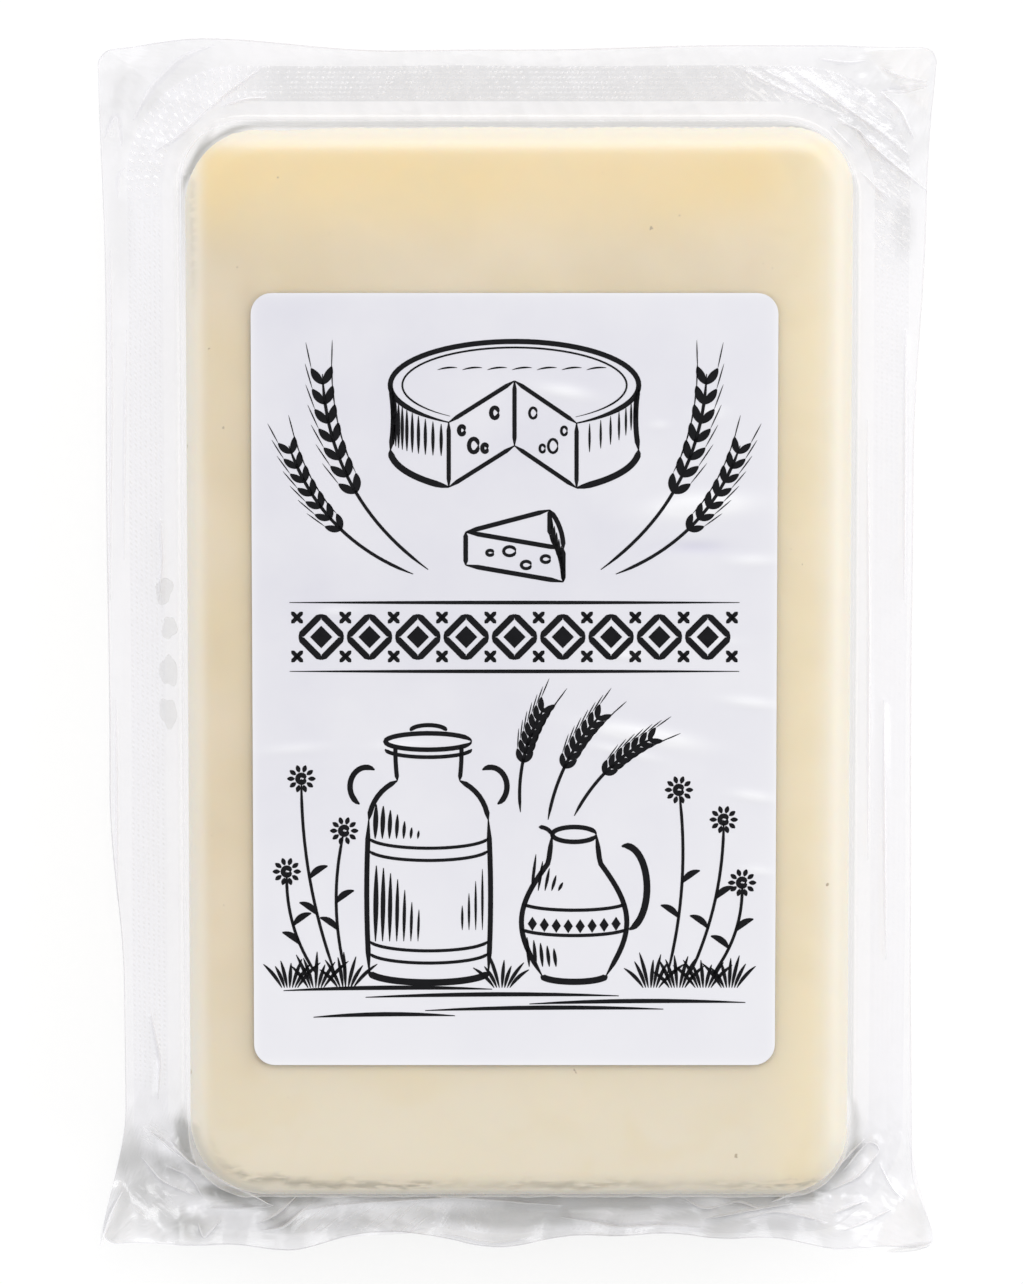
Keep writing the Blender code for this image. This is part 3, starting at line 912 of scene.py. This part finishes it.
def crinkles(x, y):
    """Short low bumps and hollows of the paper."""
    height = np.zeros_like(x)
    for middle_x, middle_y, half_length, half_width, rise, slant in LABEL_CRINKLES:
        along, across = turned(x - middle_x, y - middle_y, slant)
        height += CRINKLE_SHARE * rise * np.exp(-(along / half_length) ** 2 - (across / half_width) ** 2)
    return height


def label_piece(material):
    """The paper label, its edge turned down to the film."""
    sheets = []
    for row, inset in enumerate([0.0, 0.0, LABEL_EDGE, *np.linspace(0.5, LABEL_HALF[0] - 0.02, 84)]):
        radii = [max(LABEL_CORNER_RADIUS - inset, 0.0)] * 4
        outline = rounded_rectangle(*(LABEL_HALF[:2] - inset), radii, LABEL_STEPS) + LABEL_CENTRE[:2]
        x, y = outline.T
        height = flat_label_height(x, y) + crinkles(x, y)
        sheets.append(np.column_stack([x, y, height - (LABEL_DEPTH if row == 0 else 0.0)]))
    faces = loft_faces(len(sheets), len(sheets[0]), closed_end=True)
    points = np.concatenate(sheets)
    piece = mesh_object("paper_label", points, faces, material)
    x, y = points.T[:2]
    rim = np.exp(np.maximum(*past_label(x, y)) / 0.5)
    lower = ramp(LABEL_CENTRE[1] - y, -10.0, LABEL_HALF[1])
    to_right = ramp(x - LABEL_CENTRE[0], 0.0, LABEL_HALF[0])
    bumps = crinkles(x, y) / (0.1 * CRINKLE_SHARE)
    # Painted highlights on the crinkles and painted shade in their hollows; the paper is also made lighter
    # towards its lower end, its right side and its edge
    lift = 0.55 * lower + 0.25 * to_right * (1.0 - lower) + 0.5 * rim + np.clip(bumps, 0.0, 1.0)
    add_values(piece, lift=np.clip(lift, 0.0, 1.3), hollow=np.clip(-bumps, 0.0, 1.0))
    return piece


def bow(start, end, bend=0.0, count=9):
    """Points from start to end, bowed to the left by so much in the middle."""
    start, end = np.array(start, float), np.array(end, float)
    part = np.linspace(0, 1, count)[:, None]
    across = np.array([start[1] - end[1], end[0] - start[0]])
    across /= max(np.hypot(*across), 1e-6)
    return start + (end - start) * part + across * bend * 4 * part * (1 - part)


def toward(angle):
    return np.array([math.cos(angle), math.sin(angle)])


def oval_points(centre, half_x, half_y, start, end, count=33):
    angle = np.radians(np.linspace(start, end, count))
    return np.column_stack([centre[0] + half_x * np.cos(angle), centre[1] + half_y * np.sin(angle)])


def even(points, width=0.45):
    """A stroke of one width with pointed ends."""
    part = np.linspace(0, 1, len(points))
    return points, 1.15 * width * np.minimum(1.0, 8.0 * np.minimum(part, 1 - part) + 0.25)


def oval(width, *shape):
    return even(oval_points(*shape), width)


def rule(width, *shape):
    return even(bow(*shape), width)


def blade(start, end, width, bend=0.0):
    """A stroke that swells in the middle, as a grain, leaf or hatch mark does."""
    points = bow(start, end, bend)
    return points, width * np.sin(np.pi * np.linspace(0.04, 0.96, len(points))) ** 0.8


def lozenge(centre, half_x, half_y):
    points = bow((centre[0] - half_x, centre[1]), (centre[0] + half_x, centre[1]))
    return points, 2.0 * half_y * (1.0 - np.abs(np.linspace(-1, 1, len(points)))) + 0.02


def wheat_ear(foot, tip, bend, grain=2.6):
    """A bowed stem with pairs of grains and awns over its upper part."""
    stem = bow(foot, tip, bend, 25)
    strokes = [even(stem, 0.38)]
    for step in range(11, 25, 2):
        place = stem[step]
        ahead = place - stem[step - 1]
        heading = math.atan2(ahead[1], ahead[0])
        for side in (-1, 1):
            grain_end = place + grain * toward(heading + side * 0.55)
            awn_end = place + 2.3 * grain * toward(heading + side * 0.3)
            strokes.append(blade(place, grain_end, 0.42 * grain, 0.1 * side))
            strokes.append(blade(grain_end, awn_end, 0.16))
    return strokes


def cheese_wheel(centre, half_x, half_y, depth):
    """A wheel of cheese with a wedge cut out of its front, in outline and hatching."""
    cx, cy = centre
    cut_from, cut_to = 238, 300
    down = np.array([0.0, -depth])
    foot = (cx, cy - depth)
    left, right = oval_points(centre, half_x, half_y, cut_from, cut_to, 2)
    middle = np.array([cx, cy + 0.1 * half_y])
    strokes = [
        oval(0.6, centre, half_x, half_y, cut_to, cut_from + 360, 61),
        oval(0.22, centre, half_x - 1.6, half_y - 0.8, cut_to + 3, cut_from + 357, 61),
        oval(0.75, foot, half_x, half_y, 180, cut_from, 17),
        oval(0.75, foot, half_x, half_y, cut_to, 360, 17),
    ]
    for side in (-half_x, half_x):
        strokes.append(rule(0.6, (cx + side, cy), (cx + side, cy - depth), math.copysign(0.4, -side)))
    for start, end in ((middle, left), (middle, right), (left, left + down), (right, right + down),
                       (middle, middle + down), (middle + down, left + down), (middle + down, right + down)):
        strokes.append(rule(0.5, start, end))
    for angles, first_reach, fall, width in (
        (range(183, cut_from, 5), 0.85, 0.006, 0.45),
        (range(cut_to + 8, 358, 7), 0.5, 0.0, 0.32),
    ):
        for angle in angles:
            top = oval_points(centre, half_x - 0.3, half_y, angle, angle, 1)[0]
            reach = first_reach - fall * (angle - angles[0])
            strokes.append(blade(top - (0, 0.5), top + down * reach, width))
    for across, drop, size in ((0.3, 0.3, 0.7), (0.62, 0.6, 0.9), (0.8, 0.25, 0.55), (0.45, 0.75, 0.5)):
        for face, width in ((left, 0.5), (right, 0.32)):
            hole = middle + (face - middle) * across + down * drop
            strokes.append(oval(width, hole, size * 0.7, size, 0, 360, 17))
    for step in range(7):
        place = np.array([cx - 0.62 * half_x + 0.2 * half_x * step, cy + 0.35 * half_y])
        strokes.append(blade(place, place + (0.16 * half_x, 0.05 * half_y), 0.24, 0.15))
    return strokes


def cheese_wedge(tip, length, width, depth):
    """A wedge that points to the left, with its cut face towards the viewer."""
    tip = np.array(tip, float)
    near = tip + (length, -0.32 * width)
    far = tip + (0.86 * length, 0.42 * width)
    down = np.array([0.0, -depth])
    far_foot = far + 0.75 * down
    sides = ((tip, near), (tip, far), (near, far, -0.5), (tip, tip + down), (near, near + down),
             (tip + down, near + down), (far, far_foot), (near + down, far_foot, -0.5))
    strokes = [rule(0.55, *side) for side in sides]
    for across, drop, size in ((0.25, 0.5, 0.45), (0.45, 0.35, 0.8), (0.62, 0.68, 0.65), (0.82, 0.4, 0.6)):
        hole = tip + (near - tip) * across + down * drop
        strokes.append(oval(0.38, hole, size, 0.75 * size, 0, 360, 17))
    for step in range(5):
        place = near + (far - near) * (0.15 + 0.17 * step)
        strokes.append(blade(place + 0.08 * down, place + 0.75 * down, 0.4))
    return strokes


def milk_churn(foot, width, height):
    """A metal milk churn with hoops, a lid and two handles, darker on its left side."""
    cx, base = foot
    half = 0.5 * width
    shoulder = base + 0.62 * height
    neck = base + 0.78 * height
    top = base + height
    strokes = []
    for stroke, out, low, out_above, high, bend in (
        (0.6, 1.0, base, 1.0, shoulder, 0.3),
        (0.6, 1.0, shoulder, 0.52, neck, 0.9),
        (0.5, 0.52, neck, 0.55, top - 2.4, 0.1),
    ):
        for side in (-half, half):
            curve = math.copysign(bend, -side)
            strokes.append(rule(stroke, (cx + out * side, low), (cx + out_above * side, high), curve))
    strokes += [
        oval(0.8, (cx, base), half, 1.5, 180, 360),
        oval(0.55, (cx, top - 2.0), 0.72 * half, 1.1, 0, 360),
        oval(0.45, (cx, top - 3.0), 0.72 * half, 1.1, 180, 360),
        oval(0.5, (cx, top - 0.6), 0.3 * half, 0.8, 0, 180, 17),
        oval(0.65, (cx - half - 0.3, neck - 0.8), 2.2, 2.6, 60, 245, 17),
        oval(0.65, (cx + half + 0.3, neck - 0.8), 2.2, 2.6, -65, 120, 17),
    ]
    for level in (0.08, 0.13, 0.5, 0.55):
        strokes.append(oval(0.38, (cx, base + level * height), half, 1.5, 183, 357))
    for column, reach in enumerate((0.98, 0.95, 0.88, 0.8, 0.66, 0.5, 0.4)):
        x = cx - half + 0.85 + 0.95 * column
        for low, high in ((0.16, 0.47), (0.58, 0.6 + 0.12 * reach)):
            start = (x, base - 1.2 + low * height)
            end = (x + 0.15, base - 1.0 + (low + (high - low) * reach) * height)
            strokes.append(blade(start, end, 0.7 - 0.06 * column))
    for column in range(4):
        x = cx + half - 0.8 - 0.9 * column
        strokes.append(blade((x, base + 0.17 * height), (x, base + (0.42 - 0.05 * column) * height), 0.34))
    return strokes


def clay_jug(foot, width, height):
    """A round-bellied jug with a handle on the right and a plain painted band."""
    cx, base = foot
    half = 0.5 * width
    level = np.linspace(0, 1, 25)
    swell = 0.62 + 0.42 * np.sin(np.pi * np.clip(level * 1.25, 0, 1)) - 0.2 * level ** 2
    rim = half * swell[-1]
    top = base + height
    walls = [np.column_stack([cx + side * swell, base + height * level]) for side in (-half, half)]
    strokes = [even(wall, 0.6) for wall in walls]
    strokes += [
        oval(0.75, foot, 0.62 * half, 0.9, 180, 360),
        oval(0.55, (cx, top), rim, 1.0, 0, 360),
        oval(0.8, (cx + 0.98 * half, base + 0.62 * height), 2.9, 0.3 * height, -80, 100, 25),
        rule(0.5, (cx - rim, top), (cx - rim - 1.8, top + 1.0), -0.3),
    ]
    for at, bulge in ((0.34, 1.03), (0.52, 1.0)):
        strokes.append(oval(0.4, (cx, base + at * height), bulge * half, 1.1, 190, 350))
    for step in range(8):
        x = cx - 0.8 * half + 0.229 * half * step
        strokes.append(lozenge((x, base + 0.39 * height - 0.8 * math.cos((x - cx) / half * 1.2)), 0.62, 0.95))
    for column in range(5):
        x = cx - 0.86 * half + 0.9 * column
        end = (x - 0.3, base + (0.27 - 0.02 * column) * height)
        strokes.append(blade((x, base + 0.06 * height), end, 0.5))
        end = (x + 0.9, base + (0.86 - 0.05 * column) * height)
        strokes.append(blade((x + 0.3, base + 0.6 * height), end, 0.42))
    return strokes


def daisy(foot, head, bend, petal=1.9):
    """A flower on a bowed stem with two leaves."""
    stem = bow(foot, head, bend, 17)
    strokes = [even(stem, 0.36), oval(0.6, head, 0.5, 0.5, 0, 360, 17)]
    for ray in map(toward, 0.2 * math.pi * np.arange(10)):
        strokes.append(blade(head + 0.9 * ray, head + petal * ray, 0.62))
    for side, step in ((-1, 5), (1, 8)):
        strokes.append(blade(stem[step], stem[step] + (side * 2.4, 1.7), 0.9, 0.35 * side))
    return strokes


def grass(centre, count, height, draw):
    """A tuft of blades that fan out from one place."""
    strokes = []
    for step in range(count):
        lean = (step / (count - 1) - 0.5) * 1.5 + draw.uniform(-0.1, 0.1)
        reach = height * draw.uniform(0.6, 1.0)
        start = (centre[0] + 0.35 * (step - 0.5 * count), centre[1])
        end = (start[0] + reach * math.sin(lean), start[1] + reach * math.cos(lean))
        strokes.append(blade(start, end, 0.5, 0.3 * lean))
    return strokes


def woven_band(middle, half_length, count):
    """A traditional row of nested lozenges with small crosses between them and a line above and below."""
    pitch = 2 * half_length / count
    half_x, half_y = 0.46 * pitch, 3.0
    arm = 0.75
    strokes = []
    for x in -half_length + pitch * (np.arange(count) + 0.5):
        corners = ((x - half_x, middle), (x, middle + half_y), (x + half_x, middle), (x, middle - half_y))
        strokes += [rule(0.75, start, end) for start, end in zip(corners, corners[1:] + corners[:1])]
        strokes.append(lozenge((x, middle), 0.5 * half_x, 0.5 * half_y))
    for x in -half_length + pitch * np.arange(count + 1):
        for y in (middle - 2.6, middle + 2.6):
            strokes += [rule(0.5, (x - arm, y - tip), (x + arm, y + tip)) for tip in (arm, -arm)]
    for y in (middle - 4.6, middle + 4.6):
        strokes.append(blade((-half_length - 1.0, y), (half_length + 1.0, y), 0.5))
    return strokes


def label_art():
    """The print: a cheese wheel between wheat ears, a woven band, and a churn and jug among flowers."""
    draw = np.random.default_rng(GRASS_SEED)
    strokes = cheese_wheel((0.0, 39.5), 16.5, 5.8, 8.6)
    strokes += cheese_wedge((-6.5, 20.0), 13.0, 7.0, 4.4)
    for side in (-1, 1):
        strokes += wheat_ear((side * 11.5, 15.0), (side * 25.5, 41.0), -side * 3.6)
        strokes += wheat_ear((side * 13.5, 14.4), (side * 30.0, 31.5), -side * 2.8, grain=2.2)
    strokes += woven_band(6.0, 29.0, 9)
    strokes += milk_churn((-11.5, -39.0), 16.0, 33.0)
    strokes += clay_jug((8.0, -39.5), 14.0, 19.0)
    for foot_x, head_x, head_y in ((-24.0, -28.5, -13.0), (-22.6, -22.8, -20.0), (-26.5, -30.5, -25.5),
                                   (20.5, 22.0, -14.5), (23.5, 28.0, -18.5), (26.5, 30.5, -27.0)):
        strokes += daisy((foot_x, -39.5), (head_x, head_y), math.copysign(1.2, -foot_x))
    for foot, tip, grain in (((0.8, -17.5), (4.0, -3.5), 2.0), ((4.5, -18.5), (11.5, -4.5), 2.0),
                             ((8.0, -18.0), (18.5, -7.5), 1.9)):
        strokes += wheat_ear(foot, tip, 1.2, grain)
    for x in (-30.0, -26.5, -22.5, -1.5, 18.5, 22.0, 25.5, 29.0):
        strokes += grass((x, -41.2), 7, 5.0, draw)
    ground = ((-31.0, -3.0), (-20.0, 14.0), (2.0, 31.0), (-12.0, 20.0), (-27.0, -8.0))
    for row, (start, end) in enumerate(ground):
        strokes.append(blade((start, -41.6 - 0.9 * row), (end, -41.4 - 0.9 * row), 0.6, 0.3))
    return strokes


def print_piece(material):
    """Every stroke as a narrow strip of ink that follows the paper."""
    points, faces = [], []
    for spine, widths in label_art():
        across = across_line(spine) * 0.5 * np.asarray(widths)[:, None]
        columns = 2 + int(max(widths) / 0.6)
        faces += strip_faces(len(points), columns, len(spine))
        for side in np.linspace(-1, 1, columns + 1):
            x, y = (spine + side * across + LABEL_CENTRE[:2]).T
            points += list(np.column_stack([x, y, flat_label_height(x, y) + crinkles(x, y) + INK_RISE]))
    return mesh_object("label_print", points, faces, material)


def whey_piece(material):
    """Flat drops of whey under the tray film, beside the block."""
    points, faces = [], []
    around = np.linspace(0, 2 * np.pi, 32, endpoint=False)
    for number, (drop_x, drop_y, half_width, half_length) in enumerate(WHEY_DROPS):
        wobble = 1.0 + 0.11 * np.sin(2 * around + number) + 0.09 * np.sin(3 * around + 2 * number)
        wobble += 0.07 * np.sin(5 * around + 3 * number)
        rings = []
        for level in np.linspace(-0.5 * np.pi, 0.5 * np.pi, 11)[1:-1]:
            x = drop_x + half_width * wobble * np.cos(around) * math.cos(level)
            y = drop_y + half_length * wobble * np.sin(around) * math.cos(level)
            rest = flange_underside(x, y) + 0.5 * (TRAY_RISE + LID_RISE)
            rings.append(np.column_stack([x, y, rest + 0.1 * math.sin(level)]))
        faces += loft_faces(len(rings), len(around), len(points), closed_start=True, closed_end=True)
        points += list(np.concatenate(rings))
    return mesh_object("whey_drops", points, faces, material)


def new_material(name):
    """A material, its node tree and its main shader."""
    material = bpy.data.materials.new(name)
    material.use_nodes = True
    return material, material.node_tree, material.node_tree.nodes["Principled BSDF"]


def feed(tree, node, inputs):
    """Sets the node's inputs, given by name or number, or links them to another node's output."""
    for name, value in inputs.items():
        if isinstance(value, bpy.types.NodeSocket):
            tree.links.new(value, node.inputs[name])
        else:
            node.inputs[name].default_value = value


def add_node(tree, kind, inputs):
    node = tree.nodes.new("ShaderNode" + kind)
    feed(tree, node, inputs)
    return node


def surface_place(tree):
    return tree.nodes.new("ShaderNodeTexCoord").outputs["Object"]


def vertex_value(tree, name):
    """The number that each vertex carries under this name."""
    node = tree.nodes.new("ShaderNodeAttribute")
    node.attribute_name = name
    return node.outputs["Fac"]


def noise(tree, place, scale, detail=2.0, distortion=0.0):
    inputs = {"Vector": place, "Scale": scale, "Detail": detail, "Distortion": distortion}
    return add_node(tree, "TexNoise", inputs).outputs["Fac"]


def spread(tree, value, taken=(0.0, 1.0), given=(0.0, 1.0)):
    """A value carried over from one range to another, and held inside it."""
    names = ("Value", "From Min", "From Max", "To Min", "To Max")
    return add_node(tree, "MapRange", dict(zip(names, (value, *taken, *given)))).outputs["Result"]


def maths(tree, operation, *inputs):
    node = tree.nodes.new("ShaderNodeMath")
    node.operation = operation
    feed(tree, node, dict(enumerate(inputs)))
    return node.outputs["Value"]


def tinted(tree, colour, amount, tint):
    """A colour blended towards a tint by an amount."""
    node = tree.nodes.new("ShaderNodeMix")
    node.data_type = "RGBA"
    feed(tree, node, {"Factor": amount, "A": colour, "B": (*tint, 1.0)})
    return node.outputs["Result"]


def two_tones(tree, value, places, tones):
    """One colour up to the first place and another from the second place on, blended between them."""
    node = add_node(tree, "ValToRGB", {"Fac": value})
    for element, place, tone in zip(node.color_ramp.elements, places, tones):
        element.position = place
        element.color = (*tone, 1.0)
    return node.outputs["Color"]


def film_material(name, haze, tint, roughness):
    """Thin clear film: mostly see-through, with uneven haze, and gloss that grows at a slant. Painted shade
    darkens it and painted highlights make it hazier.
    """
    material, tree, principled = new_material(name)
    tree.nodes.remove(principled)
    spot = surface_place(tree)
    shade = vertex_value(tree, "shade")
    clear = add_node(tree, "BsdfTransparent", {"Color": tinted(tree, (*tint, 1.0), shade, SHADED_FILM)})
    haze_and_highlights = add_node(tree, "BsdfDiffuse", {"Color": MILKY_FILM})
    cloudy = spread(tree, noise(tree, spot, 70.0, 3.0), (0.35, 0.7), (0.6 * haze, 1.6 * haze))
    # Knurl pips and painted highlights, both carried as pip, make the film hazier
    dotted = maths(tree, "MULTIPLY_ADD", vertex_value(tree, "pip"), 0.45, cloudy)
    slanting = tree.nodes.new("ShaderNodeMapping")
    slanting.vector_type = "TEXTURE"
    feed(tree, slanting, {"Vector": spot, "Rotation": STROKE_TURN, "Scale": STROKE_SIZE})
    stroke = spread(tree, noise(tree, slanting.outputs["Vector"], 1.0, 1.0), (0.5, 0.62), (0.0, 0.42))
    stroked = maths(tree, "MULTIPLY_ADD", vertex_value(tree, "strokes"), stroke, dotted)
    milkiness = maths(tree, "MULTIPLY", stroked, spread(tree, shade, given=(1.0, 0.2)))
    body = add_node(tree, "MixShader", {"Fac": milkiness, 1: clear.outputs[0], 2: haze_and_highlights.outputs[0]})
    blur = spread(tree, vertex_value(tree, "tight"), given=(roughness, 0.38))
    gloss = add_node(tree, "BsdfGlossy", {"Color": WHITE, "Roughness": blur})
    slant = add_node(tree, "LayerWeight", {"Blend": 0.5}).outputs["Facing"]
    share = spread(tree, maths(tree, "POWER", slant, 4.0), given=(0.035, 0.4))
    film = add_node(tree, "MixShader", {"Fac": share, 1: body.outputs[0], 2: gloss.outputs[0]})
    feed(tree, tree.nodes["Material Output"], {"Surface": film.outputs[0]})
    return material


def cheese_material():
    """Uneven pale yellow, with a tint for each of the tones that the block's vertices carry, painted light
    and shade among them.
    """
    material, tree, principled = new_material("cheese")
    spot = surface_place(tree)
    clouds = noise(tree, spot, 55.0, 3.0)
    colour = two_tones(tree, clouds, (0.35, 0.65), ((0.694, 0.587, 0.394), (0.746, 0.643, 0.461)))
    stretched = tree.nodes.new("ShaderNodeVectorMath")
    stretched.operation = "MULTIPLY"
    feed(tree, stretched, {0: spot, 1: (1.0, 4.0, 1.0)})
    patchy = spread(tree, noise(tree, stretched.outputs["Vector"], 330.0), (0.36, 0.5))
    smears = noise(tree, spot, 90.0, distortion=0.6)
    # Tints in turn: a paler lower end, painted warm light towards the top end, the label's painted shadow,
    # painted light on the right side, random smears, painted highlights on the rim, painted shade on the
    # lower edge and left side, painted shade in the film's wrinkles with olive blots, and random specks
    for amount, tint in (
        (vertex_value(tree, "pale"), (0.76, 0.685, 0.52)),
        (vertex_value(tree, "glow"), (0.82, 0.655, 0.35)),
        (vertex_value(tree, "shaded"), (0.58, 0.46, 0.28)),
        (vertex_value(tree, "side_glow"), (0.83, 0.72, 0.48)),
        (spread(tree, smears, (0.5, 0.66), (0.0, 0.28)), (0.73, 0.615, 0.38)),
        (vertex_value(tree, "rim"), (0.82, 0.785, 0.68)),
        (vertex_value(tree, "dark"), (0.50, 0.47, 0.38)),
        (maths(tree, "MULTIPLY", vertex_value(tree, "damp"), patchy), (0.46, 0.41, 0.30)),
        (spread(tree, noise(tree, spot, 620.0), (0.76, 0.79)), (0.45, 0.36, 0.24)),
    ):
        colour = tinted(tree, colour, amount, tint)
    feed(tree, principled, {
        "Base Color": colour,
        "Roughness": 0.45,
        "Subsurface Weight": 0.35,
        "Subsurface Radius": (1.0, 0.6, 0.3),
        "Subsurface Scale": 0.003,
    })
    return material


def paper_material():
    """Cool white paper, with painted highlights where its crinkles lift towards the light and painted shade
    in their hollows; it is also lighter towards its lower end, its right side and its edge.
    """
    material, tree, principled = new_material("label_paper")
    fibre = noise(tree, surface_place(tree), 90.0, 4.0)
    colour = two_tones(tree, fibre, (0.3, 0.7), ((0.68, 0.675, 0.735), (0.725, 0.72, 0.765)))
    for name, tint in (("lift", (0.83, 0.828, 0.855)), ("hollow", (0.60, 0.59, 0.70))):
        colour = tinted(tree, colour, vertex_value(tree, name), tint)
    feed(tree, principled, {"Base Color": colour, "Roughness": 0.36})
    return material


def ink_material():
    """Black print with slightly uneven ink."""
    material, tree, principled = new_material("black_ink")
    grain = noise(tree, surface_place(tree), 900.0)
    colour = two_tones(tree, grain, (0.0, 1.0), ((0.003, 0.003, 0.004), (0.009, 0.009, 0.011)))
    feed(tree, principled, {"Base Color": colour, "Roughness": 0.6, "Specular IOR Level": 0.12})
    return material


def floor_piece():
    """A large plain white floor just under the pack."""
    material, tree, principled = new_material("floor_white")
    feed(tree, principled, {
        "Base Color": (0.29, 0.29, 0.29, 1.0),
        "Roughness": 0.9,
        "Specular IOR Level": 0.1,
        "Emission Color": WHITE,
        "Emission Strength": 0.715,
    })
    half = FLOOR_HALF
    corners = [(-half, -half, 0), (half, -half, 0), (half, half, 0), (-half, half, 0)]
    floor = mesh_object("floor", corners, [(0, 1, 2, 3)], material, smooth=False)


def area_light(name, place, size, power):
    """A soft rectangular light that faces the pack."""
    data = bpy.data.lights.new(name, "AREA")
    data.shape = "RECTANGLE"
    data.size, data.size_y = size
    data.energy = power
    light = bpy.data.objects.new(name, data)
    light.location = place
    aim = Vector(LIGHT_TARGET) - Vector(place)
    light.rotation_euler = aim.to_track_quat("-Z", "Y").to_euler()
    bpy.context.scene.collection.objects.link(light)


def set_stage():
    scene = bpy.context.scene
    scene.view_settings.view_transform = "Standard"
    world = bpy.data.worlds.new("studio")
    scene.world = world
    world.use_nodes = True
    backdrop = world.node_tree.nodes["Background"]
    feed(world.node_tree, backdrop, {"Color": WHITE, "Strength": WORLD_STRENGTH})
    for light in LIGHTS:
        area_light(*light)
    floor_piece()


def set_camera():
    """Above the pack and a little towards its top end, as the photograph's perspective says."""
    data = bpy.data.cameras.new("camera")
    data.sensor_width = SENSOR_HEIGHT
    data.lens = SENSOR_HEIGHT * PIXELS_PER_MM * CAMERA_DISTANCE / PHOTO_HEIGHT
    data.clip_start = 0.01
    camera = bpy.data.objects.new("camera", data)
    target = Vector((*CAMERA_TARGET, FACE_Z))
    back = Vector((0.0, math.sin(CAMERA_TILT), math.cos(CAMERA_TILT)))
    camera.location = (target + back * CAMERA_DISTANCE) * MM
    camera.rotation_euler = (-CAMERA_TILT, 0.0, 0.0)
    bpy.context.scene.collection.objects.link(camera)
    bpy.context.scene.camera = camera


def tie_to_pack(piece, slot, *nodes):
    """Ties a piece to the pack's body and hides the solids that it stands for. The slot is not used."""
    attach(piece, "root")
    if nodes:
        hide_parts(*nodes)


def main():
    set_stage()
    set_camera()
    film = film_material("clear_film", haze=0.06, tint=(0.99, 0.988, 0.998), roughness=0.16)
    pressed = film_material("knurled_film", haze=0.06, tint=(0.965, 0.963, 0.98), roughness=0.15)
    folded = film_material("folded_film", haze=0.06, tint=(0.985, 0.983, 0.995), roughness=0.12)
    bead = film_material("welded_edge", haze=0.45, tint=(0.97, 0.97, 0.975), roughness=0.12)
    whey = film_material("whey", haze=0.05, tint=(0.968, 0.968, 0.963), roughness=0.1)
    tie_to_pack(cheese_piece(cheese_material()), "cheese_pack", "cheese_pack")
    for piece in (tray_piece(film), seal_piece(pressed), lid_piece(film), edge_piece(bead),
                  fold_piece(folded), whey_piece(whey)):
        tie_to_pack(piece, "cheese_pack")
    tie_to_pack(label_piece(paper_material()), "label", "label")
    tie_to_pack(print_piece(ink_material()), "label")


main()
